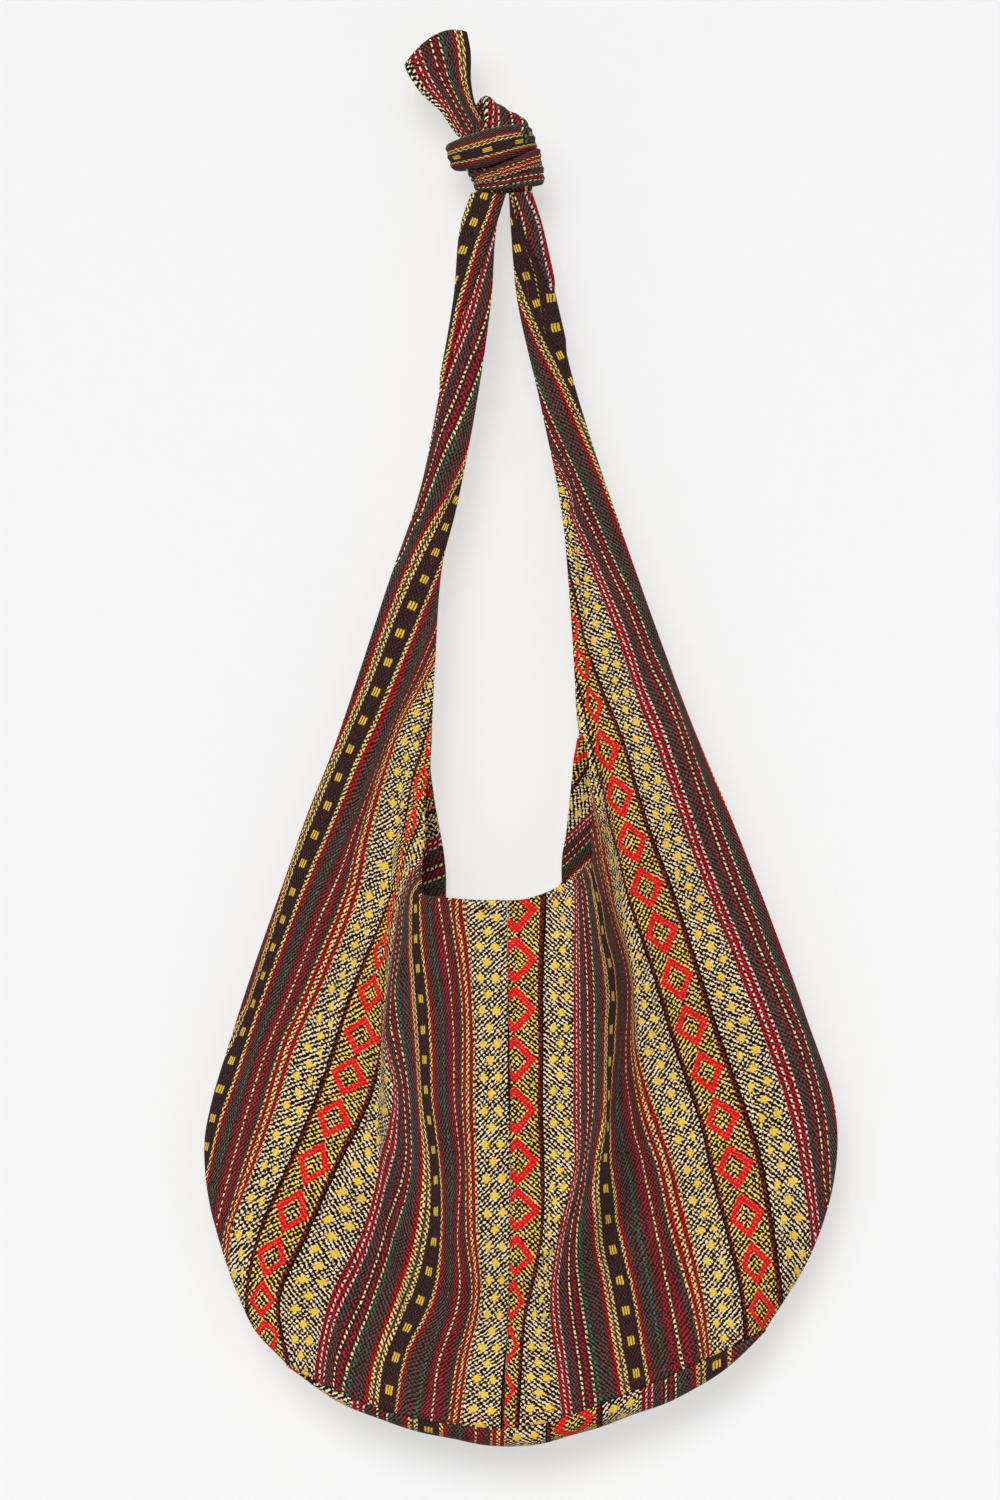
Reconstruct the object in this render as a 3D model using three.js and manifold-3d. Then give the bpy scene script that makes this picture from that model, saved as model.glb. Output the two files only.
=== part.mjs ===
// Soft crossbody bag in striped cloth, hung by its knotted strap.
// Millimetres, +Z up, +X to the right seen from the front, +Y to the back.
// The origin is the hang point: the crotch of the strap under the knot.
import * as THREE from 'three';
import Module from 'manifold-3d';

// Driving sizes
const CLOTH = 1.5; // thickness of the woven cloth
const SEAM_GAP = 0.4; // clearance where two pieces are sewn or touch
const DROP = 800; // hang point to the gusset seam at the centre
const HALF_WIDTH = 205; // hang line to a side fold at the widest level
const RIM_DROP = 459; // hang point to the middle of the front rim
const CORNER_DROP = 350; // hang point to the corners where the arms begin
const MOUTH_HALF = 55; // centre seam to a corner of the front rim
const BACK_MOUTH_HALF = 40; // the same at the back rim
const BACK_RIM_DIP = 4; // how much lower the back rim hangs
const SIDE_DEPTH = 25; // mid plane to the flat side parts of the front
const BELLY_STEP = 30; // how far the belly stands in front of the side parts
const BACK_DEPTH = 34; // mid plane to the back
const PLEAT = 4; // height of the soft folds in the side parts
const GUSSET_WIDTH = 60; // bottom strip, seam to seam at the centre
const GUSSET_SAG = 17; // how far the bottom strip hangs below its seams
const STRAP_WIDTH = 25; // arm near the knot
const STRAP_DEPTH = 14; // arm near the knot, front to back
const KNOT_WIDTH = 62;
const KNOT_HEIGHT = 63;
const KNOT_DEPTH = 46;
const WRAP_BAND = 20; // width of the upper wrap of the knot
const WRAP_THICK = 12;
const TAIL_LENGTH = 60; // from inside the knot to the cut end
const TAIL_WIDTH = 44; // at the cut end
const TAIL_DEPTH = 7; // folded tail, front to back

const wasm = await Module();
wasm.setup();

const mix = (a, b, t) => a + (b - a) * t;
const clamp01 = (t) => Math.min(1, Math.max(0, t));

function ease(t) {
  const c = clamp01(t);
  return c * c * (3 - 2 * c);
}

// Smooth curve through rows of [level, value, value, ...].
function follow(rows, level) {
  let k = 0;
  while (k < rows.length - 2 && level > rows[k + 1][0]) k += 1;
  const span = rows[k + 1][0] - rows[k][0];
  const t = clamp01((level - rows[k][0]) / span);
  const slope = (n, c) => {
    const before = rows[Math.max(0, n - 1)];
    const after = rows[Math.min(rows.length - 1, n + 1)];
    return ((after[c] - before[c]) / (after[0] - before[0])) * span;
  };
  return rows[k].slice(1).map((from, n) => {
    const to = rows[k + 1][n + 1];
    const a = slope(k, n + 1);
    const b = slope(k + 1, n + 1);
    const t2 = t * t;
    const t3 = t2 * t;
    return from * (2 * t3 - 3 * t2 + 1) + a * (t3 - 2 * t2 + t) + to * (3 * t2 - 2 * t3) + b * (t3 - t2);
  });
}

// Guides, each row [level, x, z]. Level 0 is the gusset seam, 1 the rim of the mouth,
// 2 the corners of the mouth and 3 the upper end of an arm, close under the knot.
const SEAM = [
  [0, -2, -DROP],
  [0.4, 2, mix(-DROP, -RIM_DROP, 0.4)],
  [1, 0, -RIM_DROP],
];
const W = HALF_WIDTH;
const RIGHT = {
  fold: [
    [0, 0.82 * W, -0.922 * DROP],
    [0.15, 0.96 * W, -0.862 * DROP],
    [0.3, 1.035 * W, -0.8 * DROP],
    [0.45, 1.035 * W, -0.741 * DROP],
    [0.6, 0.945 * W, -0.669 * DROP],
    [0.8, 0.84 * W, -0.594 * DROP],
    [1, 0.735 * W, -0.525 * DROP],
    [1.5, 0.63 * W, -0.46 * DROP],
    [2, 0.536 * W, -0.4 * DROP],
    [2.33, 0.371 * W, -0.282 * DROP],
    [2.66, 21 + STRAP_WIDTH, -0.168 * DROP],
    [2.85, 6.5 + STRAP_WIDTH, -0.087 * DROP],
    [2.94, 2 + 0.86 * STRAP_WIDTH, -0.03 * DROP],
    [3, 2.5 + 0.7 * STRAP_WIDTH, -SEAM_GAP],
  ],
  inner: [
    [0, 0.5 * MOUTH_HALF, -0.995 * DROP],
    [0.15, 0.6 * MOUTH_HALF, -0.915 * DROP],
    [0.3, 0.85 * MOUTH_HALF, -0.845 * DROP],
    [0.5, 1.08 * MOUTH_HALF, mix(-DROP, -RIM_DROP, 0.52)],
    [0.75, 1.09 * MOUTH_HALF, mix(-DROP, -RIM_DROP, 0.81)],
    [1, MOUTH_HALF, 25 - RIM_DROP],
    [1.3, MOUTH_HALF, mix(-RIM_DROP, -CORNER_DROP, 0.52)],
    [1.7, 0.93 * MOUTH_HALF, mix(-RIM_DROP, -CORNER_DROP, 0.93)],
    [2, 0.83 * MOUTH_HALF, 11 - CORNER_DROP],
    [2.15, 0.75 * MOUTH_HALF, -0.775 * CORNER_DROP],
    [2.33, 0.65 * MOUTH_HALF, -0.6 * CORNER_DROP],
    [2.66, 21, -0.168 * DROP],
    [2.85, 6.5, -0.087 * DROP],
    [2.94, 2.5, -0.03 * DROP],
    [3, 2.5, -SEAM_GAP],
  ],
  sag: 3,
  side: 1,
};
const LEFT = {
  fold: [
    [0, -0.7 * W, -0.95 * DROP],
    [0.12, -0.812 * W, -0.917 * DROP],
    [0.3, -0.927 * W, -0.835 * DROP],
    [0.42, -0.957 * W, -0.782 * DROP],
    [0.55, -0.936 * W, -0.741 * DROP],
    [0.7, -0.863 * W, -0.679 * DROP],
    [0.85, -0.78 * W, -0.614 * DROP],
    [1, -0.705 * W, -0.56 * DROP],
    [1.5, -0.631 * W, -0.505 * DROP],
    [2, -0.546 * W, -0.437 * DROP],
    [2.33, -0.37 * W, -0.315 * DROP],
    [2.66, -19.5 - STRAP_WIDTH, -0.17 * DROP],
    [2.85, -10 - STRAP_WIDTH, -0.085 * DROP],
    [2.94, -7.5 - 0.92 * STRAP_WIDTH, -0.03 * DROP],
    [3, -3.5 - 0.7 * STRAP_WIDTH, -SEAM_GAP],
  ],
  inner: [
    [0, -0.6 * MOUTH_HALF, -0.997 * DROP],
    [0.2, -0.68 * MOUTH_HALF, mix(-DROP, -RIM_DROP, 0.23)],
    [0.4, -0.82 * MOUTH_HALF, mix(-DROP, -RIM_DROP, 0.42)],
    [0.7, -0.95 * MOUTH_HALF, mix(-DROP, -RIM_DROP, 0.7)],
    [1, -MOUTH_HALF, 4 - RIM_DROP],
    [1.3, -0.96 * MOUTH_HALF, mix(-RIM_DROP, -CORNER_DROP, 0.35)],
    [1.6, -0.96 * MOUTH_HALF, mix(-RIM_DROP, -CORNER_DROP, 0.62)],
    [2, -0.9 * MOUTH_HALF, -10 - CORNER_DROP],
    [2.15, -0.85 * MOUTH_HALF, -0.88 * CORNER_DROP],
    [2.35, -0.77 * MOUTH_HALF, -0.7 * CORNER_DROP],
    [2.5, -32, -0.252 * DROP],
    [2.66, -19.5, -0.17 * DROP],
    [2.85, -10, -0.085 * DROP],
    [2.94, -7.5, -0.03 * DROP],
    [3, -3.5, -SEAM_GAP],
  ],
  sag: 7,
  side: -1,
};

// Rows [level, half depth of the side parts, height of the belly step, depth of the back].
const DEPTHS = [
  [0, GUSSET_WIDTH / 2, 0, GUSSET_WIDTH / 2],
  [0.15, 1.02 * SIDE_DEPTH, 0.35 * BELLY_STEP, 0.98 * BACK_DEPTH],
  [0.35, SIDE_DEPTH, 0.95 * BELLY_STEP, BACK_DEPTH],
  [0.65, 0.92 * SIDE_DEPTH, BELLY_STEP, 0.94 * BACK_DEPTH],
  [1, 0.76 * SIDE_DEPTH, 0.9 * BELLY_STEP, 0.76 * BACK_DEPTH],
  [1.5, 0.64 * SIDE_DEPTH, 0.25 * BELLY_STEP, 0.5 * BACK_DEPTH],
  [2, 0.44 * SIDE_DEPTH, 0, 0.3 * BACK_DEPTH],
  [2.4, 0.57 * STRAP_DEPTH, 0, 0.5 * STRAP_DEPTH],
  [3, 0.5 * STRAP_DEPTH, 0, 0.5 * STRAP_DEPTH],
];

// Inner edge of the back layer: narrower at the mouth, a little shy of the front on the arm.
function backInner(half, level) {
  const [x, z] = follow(half.inner, level);
  const shy = x + 1.5 * half.side * ease((level - 2) / 0.2);
  const open = ease(level / 0.6) * (1 - ease((level - 1) / 1));
  const dip = BACK_RIM_DIP * open;
  return [shy + half.side * (BACK_MOUTH_HALF - MOUTH_HALF) * open, z - dip];
}

// Height of the section at share b of the way from the inner edge to the side fold.
function rounding(b, level) {
  const power = mix(1.6, 3, ease((level - 1) / 1.3));
  return Math.sqrt(Math.max(0, 1 - b ** power));
}

// Soft upright folds in the side parts, gone at the fold, the seam and the arm.
function pleats(half, b, level) {
  const waves = half.side > 0 ? 1.5 : 2;
  const reach = ease(level / 0.3) * (1 - ease((level - 0.7) / 0.8));
  return PLEAT * 0.5 * reach * Math.sin(Math.PI * clamp01(b)) * Math.sin(2 * Math.PI * waves * b);
}

// Point of a half. s runs -1 at the centre seam, 0 at the inner edge, 1 at the side fold.
function halfPoint(half, level, s, back) {
  const c = follow(SEAM, Math.min(1, level));
  const m = back ? backInner(half, level) : follow(half.inner, level);
  const f = follow(half.fold, level);
  const [sideDepth, step, backDepth] = follow(DEPTHS, level);
  const b = Math.max(0, s);
  const wall = 1 - ease((b - 0.02) / 0.16);
  const round = rounding(b, level);
  const soft = pleats(half, b, level);
  const y = back ? backDepth * round + soft : -(sideDepth * round + step * wall + soft);
  if (s >= 0) {
    const droop = half.sag * 4 * s * (1 - s) * (1 - ease(level / 0.4));
    return new THREE.Vector3(mix(m[0], f[0], s), y, mix(m[1], f[1], s) - droop);
  }
  const a = 1 + s;
  const cx = c[0] + (half.side * SEAM_GAP) / 2;
  const cz = back ? c[1] - BACK_RIM_DIP * ease(level / 0.6) : c[1];
  return new THREE.Vector3(mix(cx, m[0], a), y, cz + (m[1] - cz) * a * a);
}

const BELLY_COLUMNS = [-1, -0.83, -0.67, -0.5, -0.33, -0.17];
const SIDE_COLUMNS = [0, 0.05, 0.1, 0.15, 0.22, 0.32, 0.43, 0.54, 0.65, 0.76, 0.86, 0.94];

function rowLevels() {
  const low = Array.from({ length: 12 }, (_, k) => k / 12);
  const mouth = Array.from({ length: 5 }, (_, k) => 1 + k / 5);
  const arm = Array.from({ length: 14 }, (_, k) => 2 + k / 13);
  return [...low, ...mouth, ...arm];
}

// Sums of the face normals round each point.
function pointNormals(points, cells) {
  const normals = points.map(() => new THREE.Vector3());
  for (const [a, b, c, d] of cells) {
    const one = new THREE.Vector3().subVectors(points[c], points[a]);
    const two = new THREE.Vector3().subVectors(points[d], points[b]);
    const n = one.cross(two);
    for (const k of [a, b, c, d]) normals[k].add(n);
  }
  return normals.map((n) => n.normalize());
}

// Edges that belong to one cell only.
function rimEdges(cells) {
  const seen = new Map();
  for (const cell of cells) {
    cell.forEach((a, k) => seen.set(`${a},${cell[(k + 1) % 4]}`, [a, cell[(k + 1) % 4]]));
  }
  return [...seen.values()].filter(([a, b]) => !seen.has(`${b},${a}`));
}

// Cloth of even thickness round a surface of four-sided cells that face out.
// Points in level keep a level edge, so a neighbour can be sewn against it.
function clothSolid(points, cells, level) {
  const normals = pointNormals(points, cells);
  for (const k of level) normals[k].setZ(0).normalize();
  const n = points.length;
  const outer = points.map((p, k) => p.clone().addScaledVector(normals[k], CLOTH / 2));
  const inner = points.map((p, k) => p.clone().addScaledVector(normals[k], -CLOTH / 2));
  const faces = [];
  for (const [a, b, c, d] of cells) {
    faces.push(a, b, c, a, c, d);
    faces.push(n + c, n + b, n + a, n + d, n + c, n + a);
  }
  for (const [a, b] of rimEdges(cells)) faces.push(b, a, n + a, b, n + a, n + b);
  const solid = new THREE.BufferGeometry().setFromPoints([...outer, ...inner]);
  solid.setIndex(faces);
  return solid;
}

// Cells of a grid of point numbers, left out where a corner is missing.
function gridCells(ids, turned) {
  const cells = [];
  for (let r = 0; r + 1 < ids.length; r += 1) {
    for (let c = 0; c + 1 < ids[r].length; c += 1) {
      const cell = [ids[r][c], ids[r][c + 1], ids[r + 1][c + 1], ids[r + 1][c]];
      if (cell.every((k) => k >= 0)) cells.push(turned ? cell.reverse() : cell);
    }
  }
  return cells;
}

// One half: front from the centre seam, round the side fold, and back to the centre seam.
function halfSolid(half) {
  const front = [...BELLY_COLUMNS, ...SIDE_COLUMNS].map((s) => [s, false]);
  const back = [...front].reverse().map(([s]) => [s, true]);
  const columns = [...front, [1, false], ...back];
  const points = [];
  const ids = rowLevels().map((level) =>
    columns.map(([s, isBack]) => {
      if (s < 0 && level > 1) return -1;
      points.push(halfPoint(half, level, s, isBack));
      return points.length - 1;
    }),
  );
  const flat = [...ids[0], ...ids.at(-1).filter((k) => k >= 0)];
  return clothSolid(points, gridCells(ids, half.side < 0), flat);
}

// Bottom strip hung between the lower edges of the front and the back, from fold to fold.
function gussetSolid() {
  const across = 6;
  const sides = [...SIDE_COLUMNS, 1];
  const left = [...BELLY_COLUMNS.slice(1), ...sides].reverse().map((s) => [LEFT, s]);
  const right = [...BELLY_COLUMNS, ...sides].map((s) => [RIGHT, s]);
  const points = [];
  const rows = [...left, ...right].map(([half, s]) => {
    const front = halfPoint(half, 0, s, false);
    const back = halfPoint(half, 0, s, true);
    front.y = Math.min(front.y, -CLOTH);
    back.y = Math.max(back.y, CLOTH);
    const sag = GUSSET_SAG * (1 - Math.max(0, s) ** 5);
    const clear = SEAM_GAP * (1 + 2.5 * Math.max(0, s) ** 8);
    return Array.from({ length: across + 1 }, (_, k) => {
      const p = front.clone().lerp(back, k / across);
      p.z -= clear + sag * Math.sin((Math.PI * k) / across);
      points.push(p);
      return points.length - 1;
    });
  });
  const level = rows.flatMap((row) => [row[0], row[across]]);
  return clothSolid(points, gridCells(rows, false), level);
}

function toManifold(geometry) {
  const vertProperties = new Float32Array(geometry.getAttribute('position').array);
  const triVerts = new Uint32Array(geometry.index.array);
  return new wasm.Manifold(new wasm.Mesh({ numProp: 3, vertProperties, triVerts }));
}

function toGeometry(manifold) {
  const mesh = manifold.getMesh();
  const geometry = new THREE.BufferGeometry();
  geometry.setAttribute('position', new THREE.BufferAttribute(mesh.vertProperties, 3));
  geometry.setIndex(new THREE.BufferAttribute(mesh.triVerts, 1));
  return geometry;
}

// Solid through closed loops of points, joined end to end or capped.
function loftSolid(loops, closed) {
  const size = loops[0].length;
  const points = loops.flat();
  const faces = [];
  const steps = closed ? loops.length : loops.length - 1;
  for (let r = 0; r < steps; r += 1) {
    const low = r * size;
    const high = ((r + 1) % loops.length) * size;
    for (let k = 0; k < size; k += 1) {
      const next = (k + 1) % size;
      faces.push(low + k, low + next, high + next, low + k, high + next, high + k);
    }
  }
  if (!closed) {
    const last = points.length - size;
    for (let k = 1; k + 1 < size; k += 1) {
      faces.push(0, k + 1, k, last, last + k, last + k + 1);
    }
  }
  const solid = new THREE.BufferGeometry().setFromPoints(points);
  solid.setIndex(faces);
  return solid;
}

// Rounded band section round a point: width along one direction, thickness along the other.
function bandLoop(centre, wide, thick, halfWidth, halfThick) {
  return Array.from({ length: 10 }, (_, k) => {
    const turn = (2 * Math.PI * k) / 10;
    const c = Math.cos(turn);
    const s = Math.sin(turn);
    const p = centre.clone().addScaledVector(wide, halfWidth * Math.sign(c) * Math.abs(c) ** 0.7);
    return p.addScaledVector(thick, halfThick * Math.sign(s) * Math.abs(s) ** 0.7);
  });
}

// Closed wrap of the knot, level at first, then tilted about the front-to-back line.
function wrapRing(centre, rx, ry, tilt, halfWidth, halfThick) {
  const turn = new THREE.Matrix4().makeRotationY(-tilt);
  const axis = new THREE.Vector3(0, 0, 1).applyMatrix4(turn);
  const loops = Array.from({ length: 26 }, (_, k) => {
    const a = (2 * Math.PI * k) / 26;
    const p = new THREE.Vector3(rx * Math.cos(a), ry * Math.sin(a), 0).applyMatrix4(turn);
    const out = new THREE.Vector3(ry * Math.cos(a), rx * Math.sin(a), 0).normalize().applyMatrix4(turn);
    return bandLoop(p.add(centre), axis, out, halfWidth, halfThick);
  });
  return loftSolid(loops, true);
}

// Strand that climbs over the top of the knot and dives under the upper wrap.
function humpStrand(heart, halfWidth, halfThick) {
  const w = KNOT_WIDTH / 62;
  const d = KNOT_DEPTH / 46;
  const h = KNOT_HEIGHT / 63;
  const path = new THREE.CatmullRomCurve3([
    new THREE.Vector3(-12 * w, 6 * d, 40 * h),
    new THREE.Vector3(-13 * w, 7 * d, 52 * h),
    new THREE.Vector3(-4 * w, 0, 56 * h),
    new THREE.Vector3(6 * w, -8 * d, 49 * h),
    new THREE.Vector3(10 * w, -12 * d, 37 * h),
    new THREE.Vector3(4 * w, -7 * d, 27 * h),
  ]);
  const loops = Array.from({ length: 15 }, (_, k) => {
    const p = path.getPoint(k / 14);
    const along = path.getTangent(k / 14);
    const out = p.clone().sub(heart);
    out.addScaledVector(along, -out.dot(along)).normalize();
    const wide = new THREE.Vector3().crossVectors(out, along);
    const taper = 0.6 + 0.4 * Math.sin((Math.PI * k) / 14);
    return bandLoop(p, wide, out, halfWidth * taper, halfThick * taper);
  });
  return loftSolid(loops, false);
}

// Four corners with clearance round a folded strip: from one edge to the other, front to back.
function roomLoop(edge, fold, front, back) {
  const pad = CLOTH / 2 + SEAM_GAP;
  const out = new THREE.Vector3().subVectors(fold, edge).setY(0).normalize();
  const near = edge.clone().addScaledVector(out, -pad);
  const far = fold.clone().addScaledVector(out, pad);
  const corners = [near.clone(), far.clone(), far, near];
  corners.forEach((p, k) => p.setY(k < 2 ? front - pad : back + pad));
  return corners;
}

// Centre line, breadth and hang of a tail at share t of its length.
function tailFrame(t, lean, length) {
  const along = new THREE.Vector3(-Math.sin(lean), 0, Math.cos(lean));
  const across = new THREE.Vector3(Math.cos(lean), 0, Math.sin(lean));
  const root = new THREE.Vector3((-21 * KNOT_WIDTH) / 62, 0, (42 * KNOT_HEIGHT) / 63);
  const width = TAIL_WIDTH * mix(0.52, 1, ease((t - 0.15) / 0.75));
  return { mid: root.addScaledVector(along, t * length), across, width };
}

// s runs 0 at the open edge to 1 at the fold, front or back layer.
function tailPoint(tail, t, s, back) {
  const { mid, across, width } = tailFrame(t, tail.lean, tail.length);
  const round = Math.sqrt(Math.max(0, 1 - s ** 3));
  const depth = (TAIL_DEPTH - CLOTH) / 2;
  const p = mid.addScaledVector(across, width * (0.5 - s));
  p.y = tail.y + (back ? depth : -depth) * round;
  return p;
}

const TAIL_COLUMNS = [0, 0.2, 0.4, 0.6, 0.8, 0.93];
const TAIL_SHIFT = (TAIL_DEPTH + 3 * SEAM_GAP) / 2;
const LEFT_TAIL = { lean: 0.45, length: TAIL_LENGTH, y: -TAIL_SHIFT };
const RIGHT_TAIL = { lean: 0.4, length: 0.92 * TAIL_LENGTH, y: TAIL_SHIFT };

function tailSolid(tail) {
  const front = TAIL_COLUMNS.map((s) => [s, false]);
  const back = [...front].reverse().map(([s]) => [s, true]);
  const columns = [...front, [1, false], ...back];
  const points = [];
  const ids = Array.from({ length: 11 }, (_, r) =>
    columns.map(([s, isBack]) => {
      points.push(tailPoint(tail, r / 10, s, isBack));
      return points.length - 1;
    }),
  );
  return clothSolid(points, gridCells(ids, true), []);
}

// Room for the end of a tail inside the knot, as deep as both tails together.
function tailRoom(tail) {
  const depth = TAIL_SHIFT + (TAIL_DEPTH - CLOTH) / 2;
  const loops = [-SEAM_GAP / tail.length, 0.1, 0.2, 0.3, 0.4, 0.5, 0.6].map((t) => {
    const edge = tailPoint(tail, t, 0, false);
    const fold = tailPoint(tail, t, 1, false);
    return roomLoop(edge, fold, -depth, depth).reverse();
  });
  return loftSolid(loops, false);
}

// Filled heart of the knot: upright loops, each row [height, half width, half depth].
function knotCore(w, h) {
  const deep = KNOT_DEPTH / 46;
  const rows = [
    [0, 20, 9.5],
    [5, 20.5, 14],
    [12, 20.5, 16.5],
    [22, 23, 19],
    [34, 22, 18.5],
    [46, 16, 14],
    [55, 9, 9],
  ];
  const loops = rows.map(([z, rx, ry]) =>
    Array.from({ length: 14 }, (_, k) => {
      const a = (2 * Math.PI * k) / 14;
      const middle = mix(-0.5, -7, ease(z / 25));
      return new THREE.Vector3(w * (middle + rx * Math.cos(a)), deep * ry * Math.sin(a), z * h);
    }),
  );
  return loftSolid(loops, false);
}

// Knot: filled heart, two wraps and the hump, with room for the tails.
function knotSolid() {
  const w = KNOT_WIDTH / 62;
  const h = KNOT_HEIGHT / 63;
  const heart = new THREE.Vector3(-6 * w, 0, 30 * h);
  const thick = WRAP_THICK / 2;
  const upper = wrapRing(
    new THREE.Vector3(-8 * w, 0, 27 * h),
    KNOT_WIDTH / 2 - thick,
    KNOT_DEPTH / 2 - thick,
    0.24,
    WRAP_BAND / 2,
    thick,
  );
  const lower = wrapRing(
    new THREE.Vector3(-0.5 * w, 0, 9.2 * h),
    0.37 * KNOT_WIDTH - 0.75 * thick,
    0.42 * KNOT_DEPTH - 0.75 * thick,
    0.06,
    0.37 * WRAP_BAND,
    0.75 * thick,
  );
  const hump = humpStrand(heart, 0.45 * WRAP_BAND, 0.85 * thick);
  let knot = toManifold(knotCore(w, h));
  for (const strand of [upper, lower, hump]) knot = knot.add(toManifold(strand));
  for (const tail of [LEFT_TAIL, RIGHT_TAIL]) knot = knot.subtract(toManifold(tailRoom(tail)));
  return toGeometry(knot);
}

function addPiece(group, name, geometry, colour) {
  geometry.computeVertexNormals();
  const cloth = new THREE.MeshStandardMaterial({ color: colour, roughness: 0.95 });
  const mesh = new THREE.Mesh(geometry, cloth);
  mesh.name = name;
  group.add(mesh);
}

const bag = new THREE.Group();
bag.name = 'crossbody_bag';
addPiece(bag, 'left_half', halfSolid(LEFT), 0x7a4a3a);
addPiece(bag, 'right_half', halfSolid(RIGHT), 0x7a4a3a);
addPiece(bag, 'bottom_gusset', gussetSolid(), 0x6a3f38);
addPiece(bag, 'strap_knot', knotSolid(), 0x6a4038);
addPiece(bag, 'left_tail', tailSolid(LEFT_TAIL), 0x70443a);
addPiece(bag, 'right_tail', tailSolid(RIGHT_TAIL), 0x70443a);

export default bag;
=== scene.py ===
import math

import bpy
import numpy as np
from mathutils import Matrix


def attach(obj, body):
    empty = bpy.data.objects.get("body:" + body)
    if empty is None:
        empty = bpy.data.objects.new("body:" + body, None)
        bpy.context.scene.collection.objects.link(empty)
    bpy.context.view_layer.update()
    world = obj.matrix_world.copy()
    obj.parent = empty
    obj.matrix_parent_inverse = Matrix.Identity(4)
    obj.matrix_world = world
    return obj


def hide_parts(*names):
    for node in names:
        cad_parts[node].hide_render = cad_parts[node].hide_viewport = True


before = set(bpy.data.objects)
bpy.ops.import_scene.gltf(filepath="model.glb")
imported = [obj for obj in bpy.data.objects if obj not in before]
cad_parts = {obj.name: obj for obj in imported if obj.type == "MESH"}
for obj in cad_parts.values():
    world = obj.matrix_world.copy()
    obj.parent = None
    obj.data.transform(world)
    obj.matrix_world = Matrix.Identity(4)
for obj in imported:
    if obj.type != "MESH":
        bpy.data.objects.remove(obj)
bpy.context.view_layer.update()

# Sizes in millimetres; the back's rim, the arms and the gusset's hang differ a little from the part's source
MM = 0.001
CLOTH = 1.5
CLOTH_SHY = 0.1
SEAM_GAP = 0.4
DROP = 800.0
HALF_WIDTH = 205.0
RIM_DROP = 459.0
CORNER_DROP = 350.0
MOUTH_HALF = 55.0
BACK_MOUTH_HALF = 40.0
BACK_RIM_DIP = 14.0
BACK_ARM_SHY = 1.5
SIDE_DEPTH = 25.0
BELLY_STEP = 30.0
BACK_DEPTH = 34.0
PLEAT = 4.0
GUSSET_WIDTH = 60.0
GUSSET_HANG = 12.5
GUSSET_LEAN = 0.5 / 120
STRAP_WIDTH = 25.0
STRAP_DEPTH = 14.0
TAIL_LENGTH = 60.0
TAIL_DEPTH = 7.0

# The cloth: one warp yarn, one pick of weft, and the warp repeat in yarns
YARN = 1.15
PICK = 1.4
REPEAT = 147

# Pattern drawing: 0.65 mm to a unit, hang point at (507, 193), y down
UNIT = 0.65
DRAWN_X, DRAWN_Y = 507.0, 193.0


def mix(a, b, t):
    return a + (b - a) * t


def rise(at, start, end):
    """0 up to the start, 1 from the end on, and a smooth rise between them."""
    t = np.clip((at - start) / (end - start), 0.0, 1.0)
    return t * t * (3.0 - 2.0 * t)


def unit(vectors):
    """The same directions, one long."""
    return vectors / np.maximum(np.linalg.norm(vectors, axis=-1, keepdims=True), 1e-9)


def from_drawing(points):
    """Millimetres (x, z) from drawing units."""
    return (np.array(points) - [DRAWN_X, DRAWN_Y]) * [UNIT, -UNIT]


def follow(rows, level):
    """Smooth curve through rows of (level, value, ...), at an array of levels."""
    table = np.array(rows, float)
    at = np.asarray(level, float)
    k = np.clip(np.searchsorted(table[1:-1, 0], at), 0, len(table) - 2)
    row = np.arange(len(table))
    before, after = np.maximum(row - 1, 0), np.minimum(row + 1, len(table) - 1)
    slope = (table[after, 1:] - table[before, 1:]) / (table[after, :1] - table[before, :1])
    span = (table[k + 1, 0] - table[k, 0])[..., None]
    t = np.clip((at[..., None] - table[k, :1]) / span, 0.0, 1.0)
    t2, t3 = t * t, t * t * t
    return (
        table[k, 1:] * (2 * t3 - 3 * t2 + 1)
        + slope[k] * span * (t3 - 2 * t2 + t)
        + table[k + 1, 1:] * (3 * t2 - 2 * t3)
        + slope[k + 1] * span * (t3 - t2)
    )


def columns(rows, level):
    """Each value of such a curve on its own."""
    return np.moveaxis(follow(rows, level), -1, 0)


def drop_mix(t):
    """Height between the gusset seam and the rim."""
    return mix(-DROP, -RIM_DROP, t)


def mouth_mix(t):
    """Height between the rim and the corners of the mouth."""
    return mix(-RIM_DROP, -CORNER_DROP, t)


# Guides, each row (level, x, z): level 0 gusset seam, 1 rim, 2 mouth corners, 3 under the knot
SEAM = [(0, -2, -DROP), (0.4, 2, drop_mix(0.4)), (1, 0, -RIM_DROP)]
W, M = HALF_WIDTH, MOUTH_HALF
RIGHT_FOLD = [
    (0, 0.82 * W, -0.922 * DROP), (0.15, 0.96 * W, -0.862 * DROP), (0.3, 1.035 * W, -0.8 * DROP),
    (0.45, 1.035 * W, -0.741 * DROP), (0.6, 0.945 * W, -0.669 * DROP), (0.8, 0.84 * W, -0.594 * DROP),
    (1, 0.735 * W, -0.525 * DROP), (1.5, 0.63 * W, -0.46 * DROP), (2, 0.536 * W, -0.4 * DROP),
    (2.33, 0.371 * W, -0.282 * DROP), (2.66, 21 + STRAP_WIDTH, -0.168 * DROP),
    (2.85, 5 + STRAP_WIDTH, -0.087 * DROP), (2.94, 2 + 0.71 * STRAP_WIDTH, -0.03 * DROP),
    (3, 0.5 * STRAP_WIDTH, -SEAM_GAP),
]
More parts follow.
